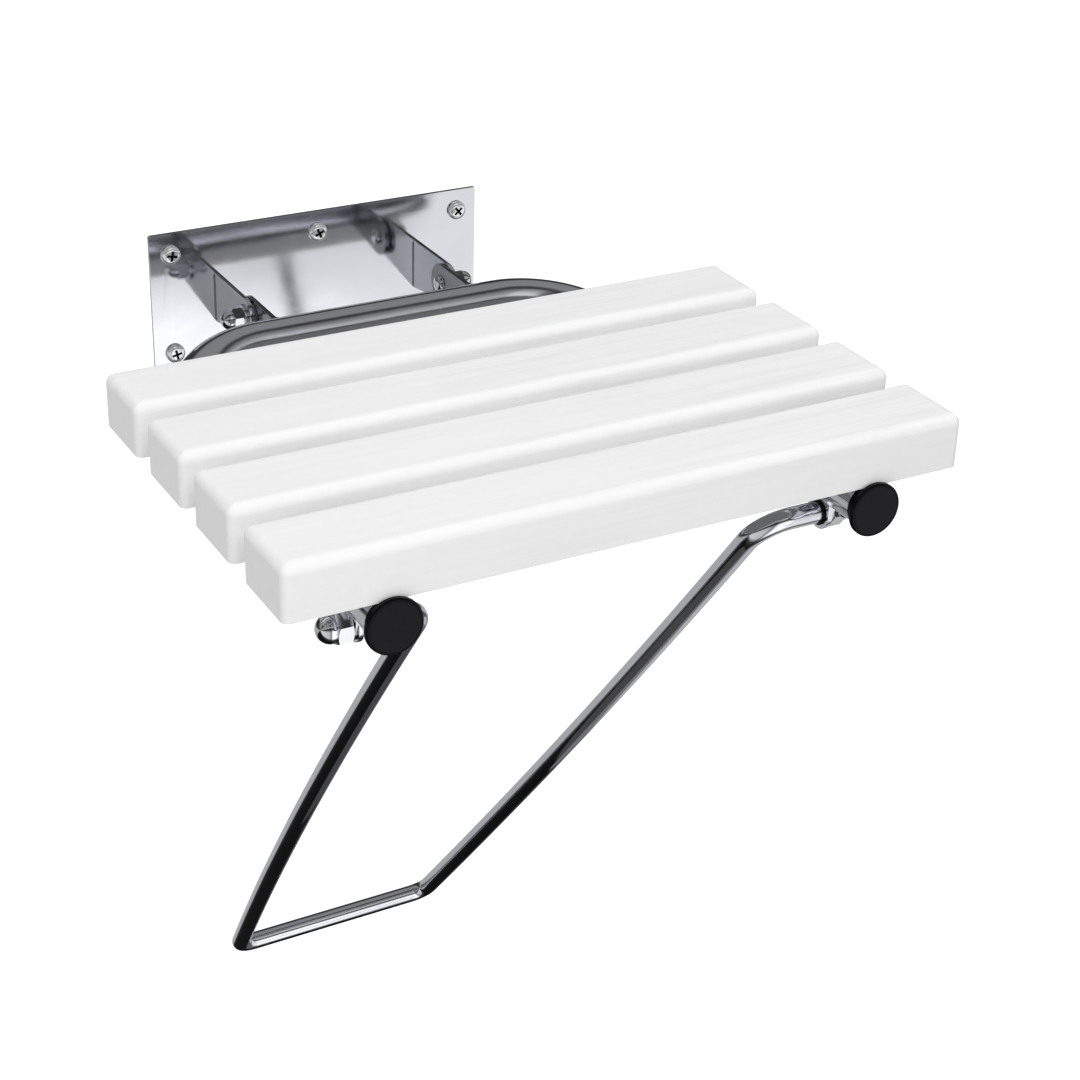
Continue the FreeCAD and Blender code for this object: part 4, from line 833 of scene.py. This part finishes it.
# a lathe's local z is world y here
TURN_Y = Matrix(((1, 0, 0, 0), (0, 0, 1, 0), (0, 1, 0, 0), (0, 0, 0, 1)))
for side, tag in ((-1, "left"), (1, "right")):
    moulding = piece(
        "end_cap_%s_moulding" % tag, moved(lathe(cap, 80), at(side * SIDE_X, 0, SIDE_Z) @ TURN_Y), cap_black, "seat",
        ["end_cap_" + tag], angle=40,
    )
    moulding.data.materials.append(cap_rim_shade)
    # the rounded rim and the skirt behind it get the darker copy: painted shade
    for face in moulding.data.polygons:
        c = face.center / MM
        if math.hypot(c.x - side * SIDE_X, c.z - SIDE_Z) > CAP_R - 1.35 or c.y > CAP_Y + 0.5:
            face.material_index = 1


# ---------------------------------------------------------------------------
# Slats
# ---------------------------------------------------------------------------
def slat_shell():
    hx, hw, high, r = SLAT_L / 2, SLAT_W / 2, SLAT_H, 6.0
    levels = [(0.0, 0.5), (0.15, 0.15), (0.5, 0.0), (high - r, 0.0)]
    for k in range(1, 13):
        a = math.pi / 2 * k / 12
        levels.append((high - r + r * math.sin(a), r * (1 - math.cos(a))))
    mesh = Mesh()
    rings = []
    for z, d in levels:
        corner_r = max(4.5 - d, 0.02) if d < 4.5 else 0.02
        ring = []
        for cx, cy, a in ((1, -1, -90), (1, 1, 0), (-1, 1, 90), (-1, -1, 180)):
            ox, oy = cx * (hx - d - corner_r), cy * (hw - d - corner_r)
            ring += [
                (ox + corner_r * math.cos(math.radians(a + 90 * k / 8)), oy + corner_r * math.sin(math.radians(a + 90 * k / 8)), z)
                for k in range(9)
            ]
        rings.append(mesh.add(ring, []))
    n = 36
    for a, b in zip(rings[:-1], rings[1:]):
        for i in range(n):
            j = (i + 1) % n
            mesh.faces.append((a + i, a + j, b + j, b + i))
    mesh.faces.append(tuple(rings[0] + i for i in range(n)))
    mesh.faces.append(tuple(rings[-1] + i for i in range(n)))
    return mesh


def block(x0, x1, y0, y1, z0, z1, draft=0.35):
    mesh = Mesh()
    d = draft
    mesh.add(
        [
            (x0, y0, z0), (x1, y0, z0), (x1, y1, z0), (x0, y1, z0),
            (x0 + d, y0 + d, z1), (x1 - d, y0 + d, z1), (x1 - d, y1 - d, z1), (x0 + d, y1 - d, z1),
        ],
        [(3, 2, 1, 0), (4, 5, 6, 7), (0, 1, 5, 4), (1, 2, 6, 5), (2, 3, 7, 6), (3, 0, 4, 7)],
    )
    return mesh


def slat_cells():
    wall, rib, half, blk = 3.5, 1.5, SLAT_L / 2, 10.0
    cells = Mesh()
    for low, high, many in ((-half + wall, -SIDE_X - blk, 2), (-SIDE_X + blk, SIDE_X - blk, 8), (SIDE_X + blk, half - wall, 2)):
        cell = (high - low - (many - 1) * rib) / many
        for n in range(many):
            x0 = low + n * (cell + rib)
            cells.join(block(x0, x0 + cell, -SLAT_W / 2 + wall, -rib / 2, -1.0, SLAT_H - 4.0))
            cells.join(block(x0, x0 + cell, rib / 2, SLAT_W / 2 - wall, -1.0, SLAT_H - 4.0))
    return cells


slat_data = cut("slat", slat_shell(), [slat_cells()])
slat_y = [SLAT_FRONT + (3 - k) * SLAT_PITCH + SLAT_W / 2 for k in range(4)]
for k in range(4):
    data = slat_data.copy()
    data.transform(at(0, slat_y[k] * MM, SLAT_BASE * MM))
    piece("slat_%d_moulding" % (k + 1), data, slat_white, "seat", ["slat_%d" % (k + 1)], angle=30, flat=True, merge=False)

fix_screw = pan_screw("slat_screw", 4.2, 2.9, 1.5, 2.1, 1.5, 41.0 - 0.1, 4.0, (2.2, 0.5, 1.6), 48)
fix_z = SIDE_Z - TUBE_R
n = 0
for side in (-1, 1):
    for k in range(4):
        data = fix_screw.copy()
        data.transform(at(side * SIDE_X * MM, (slat_y[k] - FIX_SHIFT) * MM, fix_z * MM) @ Matrix.Rotation(math.radians(17 + 47 * n), 4, "Z"))
        n += 1
        piece("slat_screw_%d" % n, data, bright_steel, "seat", ["slat_screws"], angle=38, merge=False)

# ---------------------------------------------------------------------------
# Leg tabs, leg and its hardware
# ---------------------------------------------------------------------------
py, pz = PIVOT
for side, tag in ((-1, "left"), (1, "right")):
    seam_z = SIDE_Z - math.sqrt(TUBE_R ** 2 - 1.5 ** 2)
    outline = [(py + EAR_R, seam_z), (py - EAR_R, seam_z)] + arc_points(py, pz, EAR_R, math.pi, 2 * math.pi, 36)
    ear = sheet_metal(clean(outline), [hole(py, pz, 5.05)], EAR_T, 0.3)
    x = EAR_IN if side > 0 else -EAR_IN - EAR_T
    piece("leg_tab_%s_sheet" % tag, moved(ear, at(x, 0, 0) @ YZ_PLANE), tab_steel, "seat", ["leg_tab_" + tag], flat=True)
    bead = Mesh()
    for n, x in enumerate((EAR_IN, EAR_IN + EAR_T)):
        bead.join(weld([(side * x, py - EAR_R + 0.6, seam_z + 0.1), (side * x, py + EAR_R - 0.6, seam_z + 0.1)], 1.1, 30 + n))
    piece("leg_tab_%s_welds" % tag, bead, weld_steel, "seat", [], angle=60)

leg_long = math.hypot(FOOT[0] - py, FOOT[1] - pz)
leg_dir = Vector((0, (FOOT[0] - py) / leg_long, (FOOT[1] - pz) / leg_long))


def circle_through(a, b, c):
    ax, ay, bx, by, cx, cy = *a, *b, *c
    d = 2 * (ax * (by - cy) + bx * (cy - ay) + cx * (ay - by))
    ux = ((ax * ax + ay * ay) * (by - cy) + (bx * bx + by * by) * (cy - ay) + (cx * cx + cy * cy) * (ay - by)) / d
    uy = ((ax * ax + ay * ay) * (cx - bx) + (bx * bx + by * by) * (ax - cx) + (cx * cx + cy * cy) * (bx - ax)) / d
    return ux, uy, math.hypot(ax - ux, ay - uy)


ccx, ccy, big = circle_through((LEG_TOP, 0), ((LEG_TOP + LEG_FOOT) / 2 + LEG_BOW, leg_long / 2), (LEG_FOOT, leg_long))
e1y = ELBOW_R
e1x = ccx + math.sqrt((big + ELBOW_R) ** 2 - (e1y - ccy) ** 2)
t1 = (ccx + big * (e1x - ccx) / (big + ELBOW_R), ccy + big * (e1y - ccy) / (big + ELBOW_R))
e2y = leg_long - FOOT_R
e2x = ccx + math.sqrt((big - FOOT_R) ** 2 - (e2y - ccy) ** 2)
t2 = (ccx + big * (e2x - ccx) / (big - FOOT_R), ccy + big * (e2y - ccy) / (big - FOOT_R))


def leg_point(x, s):
    return Vector((x, py, pz)) + leg_dir * s


half_leg = [(SHOULDER - (SHOULDER - e1x) * k / 3, 0.0) for k in range(3)]
a0, a1 = -math.pi / 2, math.atan2(t1[1] - e1y, t1[0] - e1x)
if a1 > 0:
    a1 -= 2 * math.pi
half_leg += arc_points(e1x, e1y, ELBOW_R, a0, a1, 18)[:-1]
b0, b1 = math.atan2(t1[1] - ccy, t1[0] - ccx), math.atan2(t2[1] - ccy, t2[0] - ccx)
half_leg += arc_points(ccx, ccy, big, b0, b1, 40)[:-1]
c0, c1 = math.atan2(t2[1] - e2y, t2[0] - e2x), math.pi / 2
half_leg += arc_points(e2x, e2y, FOOT_R, c0, c1, 16)
leg_line = [leg_point(x, s) for x, s in half_leg]
leg_line += [leg_point(e2x * (1 - k / 4), leg_long) for k in range(1, 8)]
leg_line += [leg_point(-x, s) for x, s in reversed(half_leg)]
leg = sweep(leg_line, ROD_R, 56)
leg_seat = EAR_IN + EAR_T + 0.1 + 1.5
for side in (-1, 1):
    flip = Matrix.Identity(4) if side > 0 else HALF_TURN
    end = leg_seat + 12.0
    stud = [(SHOULDER - 0.4, 0.0), (SHOULDER - 0.4, 5.0), (end - 1.0, 5.0), (end, 4.0), (end, 0.0)]
    leg.join(lathe(stud, 48), at(0, py, pz) @ flip @ ALONG_X)
piece("support_leg_rod", leg, rod_steel, "leg", ["support_leg"])

for side, tag in ((-1, "left"), (1, "right")):
    flip = Matrix.Identity(4) if side > 0 else HALF_TURN
    axis = at(0, py, pz) @ flip @ ALONG_X
    x0, x1 = SHOULDER, EAR_IN - 0.1
    ring = [(x0, 5.0), (x0, 7.45), (x0 + 0.15, 7.6), (x1 - 0.15, 7.6), (x1, 7.45), (x1, 5.0)]
    piece("leg_washer_" + tag, moved(lathe(ring, closed=True), axis), cap_black, "leg", ["leg_washers"])
    top = SIDE_Z - TUBE_R - 0.1 - pz
    s_y, s_z = -3.0, math.sqrt(8.5 ** 2 - 9.0)
    outline = [(py + s_y, pz + top), (py - 10.2, pz + top), (py - 10.2, pz + top - 4.0)]
    outline += arc_points(py, pz, 8.5, math.radians(185), math.atan2(s_z, s_y) + 2 * math.pi, 48)
    stop = sheet_metal(clean(outline), [hole(py, pz, 5.0)], 1.5, 0.2)
    inner = EAR_IN + EAR_T + 0.1
    x = inner if side > 0 else -inner - 1.5
    piece(
        "leg_stop_washer_%s_sheet" % tag, moved(stop, at(x, 0, 0) @ YZ_PLANE), bright_steel, "leg",
        ["leg_stop_washer_" + tag], flat=True,
    )
    nut = moved(acorn_nut(math.radians(23 if side < 0 else 2), 17.0, 9.0, 8.0), axis @ at(0, 0, leg_seat))
    piece("leg_acorn_nut_" + tag, nut, bright_steel, "leg", ["leg_acorn_nuts"])


# ---------------------------------------------------------------------------
# Floor, reflectors and light
# ---------------------------------------------------------------------------
def flat_card(name, centre, across, upright, width, height, level, floor=False, one_side=False):
    """A rectangle: across and upright are its directions. A reflector is seen only in
    reflections, and with one_side only from the side that across x upright points to."""
    c, u, v = Vector(centre), Vector(across).normalized(), Vector(upright).normalized()
    pts = [c + u * (a * width / 2) + v * (b * height / 2) for a, b in ((-1, -1), (1, -1), (1, 1), (-1, 1))]
    data = bpy.data.meshes.new(name)
    data.from_pydata(pts, [], [(0, 1, 2, 3)])
    made = bpy.data.objects.new(name, data)
    scene.collection.objects.link(made)
    material = bpy.data.materials.new(name)
    material.use_nodes = True
    tree = material.node_tree
    tree.nodes.clear()
    out = tree.nodes.new("ShaderNodeOutputMaterial")
    if floor:
        shader = tree.nodes.new("ShaderNodeBsdfPrincipled")
        shader.inputs["Base Color"].default_value = (0.9, 0.9, 0.9, 1)
        shader.inputs["Roughness"].default_value = 0.9
        shader.inputs["Specular IOR Level"].default_value = 0.0
        shader.inputs["Emission Color"].default_value = (1, 1, 1, 1)
        shader.inputs["Emission Strength"].default_value = level
        tree.links.new(shader.outputs[0], out.inputs["Surface"])
    else:
        shader = tree.nodes.new("ShaderNodeEmission")
        shader.inputs["Color"].default_value = (1, 1, 1, 1)
        shader.inputs["Strength"].default_value = level
        if one_side:
            facing = tree.nodes.new("ShaderNodeNewGeometry")
            clear = tree.nodes.new("ShaderNodeBsdfTransparent")
            choice = tree.nodes.new("ShaderNodeMixShader")
            tree.links.new(facing.outputs["Backfacing"], choice.inputs[0])
            tree.links.new(shader.outputs[0], choice.inputs[1])
            tree.links.new(clear.outputs[0], choice.inputs[2])
            shader = choice
        tree.links.new(shader.outputs[0], out.inputs["Surface"])
        made.visible_camera = False
        made.visible_diffuse = False
        made.visible_shadow = False
        made.visible_transmission = False
        made.visible_volume_scatter = False
    data.materials.append(material)
    return made


floor = flat_card("floor", (0, 0, -1.0), (1, 0, 0), (0, 1, 0), 60, 60, 0.45, floor=True)
floor.visible_glossy = False
floor.visible_diffuse = False
# dim cards, also seen only in reflections: under the slats and behind the rear slat they stand in for the shaded
# underside and rear face of the slats (painted shade, seen in reflections); low between and beside the leg's rods; and
# below the back bar they paint the dark band reflected on the wall plate
flat_card("card_under", (0, -0.2825, 0.0045), (1, 0, 0), (0, 1, 0), 0.256, 0.235, 0.16)
flat_card("card_behind", (0, -0.1632, 0.0205), (1, 0, 0), (0, 0, 1), 0.40, 0.030, 0.15)
flat_card("card_right", (0.285, -0.29, -0.35), (1, 0, 0), (0, 1, 0), 0.27, 0.26, 0.52, one_side=True)
flat_card("card_right_dim", (0.1225, -0.29, -0.35), (1, 0, 0), (0, 1, 0), 0.055, 0.26, 0.20, one_side=True)
flat_card("card_middle", (0.0, -0.275, -0.35), (1, 0, 0), (0, 1, 0), 0.19, 0.21, 0.07, one_side=True)
flat_card("card_band", (0.010, -0.096, -0.0116), (-1, 0, 0), (0, 0, 1), 0.19, 0.0115, 0.22, one_side=True)
flat_card("card_band_left", (-0.0765, -0.09, -0.001), (-1, 0, 0), (0, 0, 1), 0.03, 0.030, 0.22, one_side=True)

# a black flag at the front right, seen by nothing but the diffuse light: the front face falls off to the right
flag = flat_card("flag", (0.42, -0.915, -0.36), (0, 1, 0), (0, 0, 1), 0.97, 0.78, 0.0)
flag.visible_glossy = False
flag.visible_diffuse = True
flag.visible_shadow = True

# the tent, seen only in reflections: grey overhead and behind, dark below, pale in front
tent_data = bpy.data.meshes.new("tent")
bm = bmesh.new()
bmesh.ops.create_uvsphere(bm, u_segments=48, v_segments=32, radius=4.0)
for f in bm.faces:
    f.smooth = True
bm.to_mesh(tent_data)
bm.free()
tent = bpy.data.objects.new("tent", tent_data)
scene.collection.objects.link(tent)
tent_material = bpy.data.materials.new("tent")
tent_material.use_nodes = True
tree = tent_material.node_tree
tree.nodes.clear()
out = tree.nodes.new("ShaderNodeOutputMaterial")
emit = tree.nodes.new("ShaderNodeEmission")
place = tree.nodes.new("ShaderNodeTexCoord").outputs["Object"]
parts = tree.nodes.new("ShaderNodeSeparateXYZ")
tree.links.new(place, parts.inputs[0])
angle = tree.nodes.new("ShaderNodeMath")
angle.operation = "ARCTAN2"
tree.links.new(parts.outputs["Z"], angle.inputs[0])
tree.links.new(parts.outputs["Y"], angle.inputs[1])
turn = tree.nodes.new("ShaderNodeMath")
turn.operation = "MULTIPLY_ADD"
turn.inputs[1].default_value = 1 / (2 * math.pi)
turn.inputs[2].default_value = 0.5
tree.links.new(angle.outputs[0], turn.inputs[0])


def around(degrees):
    """0 is toward the wall, 90 up, 180 or -180 to the front, -90 down."""
    return degrees / 360.0 + 0.5


TENT = [
    (-180, 0.85), (-135, 0.85), (-121, 0.06), (-100, 0.004), (-60, 0.012), (-52, 0.03), (-48, 0.45), (-40, 0.47), (-14, 0.45),
    (-6, 0.03), (33, 0.03), (38, 0.24), (88, 0.26), (96, 0.04), (106, 0.04), (115, 0.20), (125, 0.28), (138, 0.46), (147, 0.48),
    (153, 0.03), (163, 0.04), (172, 0.60), (180, 0.85),
]
level = ramp(tree, turn.outputs[0], [(around(d), v) for d, v in TENT])

# in front the tent is darker to the left and brightest in the middle
minus_y = tree.nodes.new("ShaderNodeMath")
minus_y.operation = "MULTIPLY"
minus_y.inputs[1].default_value = -1.0
tree.links.new(parts.outputs["Y"], minus_y.inputs[0])
side_angle = tree.nodes.new("ShaderNodeMath")
side_angle.operation = "ARCTAN2"
tree.links.new(parts.outputs["X"], side_angle.inputs[0])
tree.links.new(minus_y.outputs[0], side_angle.inputs[1])
side_turn = tree.nodes.new("ShaderNodeMath")
side_turn.operation = "MULTIPLY_ADD"
side_turn.inputs[1].default_value = 1 / (2 * math.pi)
side_turn.inputs[2].default_value = 0.5
tree.links.new(side_angle.outputs[0], side_turn.inputs[0])
SIDES = [
    (-180, 1.0), (-100, 1.0), (-40, 0.72), (-26, 0.72), (-22, 0.36), (-14, 0.36), (-4, 1.55), (19.5, 1.55), (22.3, 1.30),
    (23.2, 1.40), (25, 1.12), (26.5, 0.97), (60, 0.97), (180, 1.0),
]
side_level = ramp(tree, side_turn.outputs[0], [(around(d), v) for d, v in SIDES])
product = tree.nodes.new("ShaderNodeMix")
product.data_type = "RGBA"
product.blend_type = "MULTIPLY"
product.inputs["Factor"].default_value = 1.0
tree.links.new(level, product.inputs["A"])
tree.links.new(side_level, product.inputs["B"])

# a darker patch low in front, up to a little right of the middle, for the upper part of the wall plate
patch_high = ramp(tree, turn.outputs[0], [(0.0, 0.0), (around(-164), 0.0), (around(-163), 1.0), (around(-157.8), 1.0), (around(-157.2), 0.0), (1.0, 0.0)])
patch_wide = ramp(tree, side_turn.outputs[0], [(0.0, 0.0), (around(10), 0.0), (around(12), 1.0), (around(25.4), 1.0), (around(26.6), 0.0), (1.0, 0.0)])
patch = tree.nodes.new("ShaderNodeMath")
patch.operation = "MULTIPLY"
tree.links.new(patch_high, patch.inputs[0])
tree.links.new(patch_wide, patch.inputs[1])
dimmed = tree.nodes.new("ShaderNodeMix")
dimmed.data_type = "RGBA"
dimmed.inputs["B"].default_value = (0.5, 0.5, 0.5, 1.0)
tree.links.new(patch.outputs[0], dimmed.inputs["Factor"])
tree.links.new(product.outputs["Result"], dimmed.inputs["A"])

# and toward the right, low and behind, a faint glow that lights the right edges of the leg's rods
glow = ranged(tree, parts.outputs["X"], 0.0, 0.12, 1.25, 1.75)
below = ranged(tree, parts.outputs["Z"], 1.0, 0.0, -1.6, -0.6)
low_right = tree.nodes.new("ShaderNodeMath")
low_right.operation = "MULTIPLY"
tree.links.new(glow, low_right.inputs[0])
tree.links.new(below, low_right.inputs[1])
total = tree.nodes.new("ShaderNodeMix")
total.data_type = "RGBA"
total.blend_type = "ADD"
total.inputs["Factor"].default_value = 1.0
tree.links.new(dimmed.outputs["Result"], total.inputs["A"])
tree.links.new(low_right.outputs[0], total.inputs["B"])
tree.links.new(total.outputs["Result"], emit.inputs["Color"])
emit.inputs["Strength"].default_value = 1.0
tree.links.new(emit.outputs[0], out.inputs["Surface"])
tent_data.materials.append(tent_material)
tent.visible_camera = False
tent.visible_diffuse = False
tent.visible_shadow = False
tent.visible_transmission = False
tent.visible_volume_scatter = False

# soft white light from all round, weaker from below and a little stronger from the front
world = bpy.data.worlds.new("studio")
scene.world = world
world.use_nodes = True
tree = world.node_tree
tree.nodes.clear()
out = tree.nodes.new("ShaderNodeOutputWorld")
back = tree.nodes.new("ShaderNodeBackground")
back.inputs["Color"].default_value = (1, 1, 1, 1)
place = tree.nodes.new("ShaderNodeTexCoord").outputs["Generated"]
parts = tree.nodes.new("ShaderNodeSeparateXYZ")
tree.links.new(place, parts.inputs[0])
height = ranged(tree, parts.outputs["Z"], 0.66, 0.90, -0.15, 0.35)
front = ranged(tree, parts.outputs["Y"], 1.26, 1.0, -0.9, 0.0)
left = ranged(tree, parts.outputs["X"], 0.86, 1.0, -0.9, -0.1)
right = ranged(tree, parts.outputs["X"], 1.0, 0.86, 0.1, 0.9)
strength = height
for factor in (front, left, right):
    times = tree.nodes.new("ShaderNodeMath")
    times.operation = "MULTIPLY"
    tree.links.new(strength, times.inputs[0])
    tree.links.new(factor, times.inputs[1])
    strength = times.outputs[0]
tree.links.new(strength, back.inputs["Strength"])
tree.links.new(back.outputs[0], out.inputs["Surface"])


def area(name, place, target, size, power):
    light = bpy.data.lights.new(name, "AREA")
    light.shape = "SQUARE"
    light.size = size
    light.energy = power
    made = bpy.data.objects.new(name, light)
    scene.collection.objects.link(made)
    made.location = place
    made.rotation_euler = (Vector(target) - Vector(place)).to_track_quat("-Z", "Y").to_euler()
    return made


key = area("key", (-0.45, -2.4, 2.3), (0, -0.29, 0.0), 1.2, 25.0)
key.visible_glossy = False

# ---------------------------------------------------------------------------
# Camera
# ---------------------------------------------------------------------------
az, el, roll = math.radians(-29.42), math.radians(27.91), math.radians(1.73)
back_way = Vector((math.sin(az) * math.cos(el), -math.cos(az) * math.cos(el), math.sin(el)))
right = (-back_way).cross(Vector((0, 0, 1))).normalized()
up = right.cross(-back_way)
right2 = right * math.cos(roll) + up * math.sin(roll)
up2 = up * math.cos(roll) - right * math.sin(roll)
camera_data = bpy.data.cameras.new("camera")
camera_data.lens = 76.886
camera_data.sensor_width = 36.0
camera_data.clip_end = 100.0
camera = bpy.data.objects.new("camera", camera_data)
scene.collection.objects.link(camera)
camera.matrix_world = Matrix(
    (
        (right2.x, up2.x, back_way.x, -0.55955),
        (right2.y, up2.y, back_way.y, -1.29828),
        (right2.z, up2.z, back_way.z, 0.55716),
        (0, 0, 0, 1),
    )
)
scene.camera = camera
scene.view_settings.view_transform = "Standard"
scene.view_settings.look = "None"
scene.view_settings.exposure = 0.0
scene.view_settings.gamma = 1.0
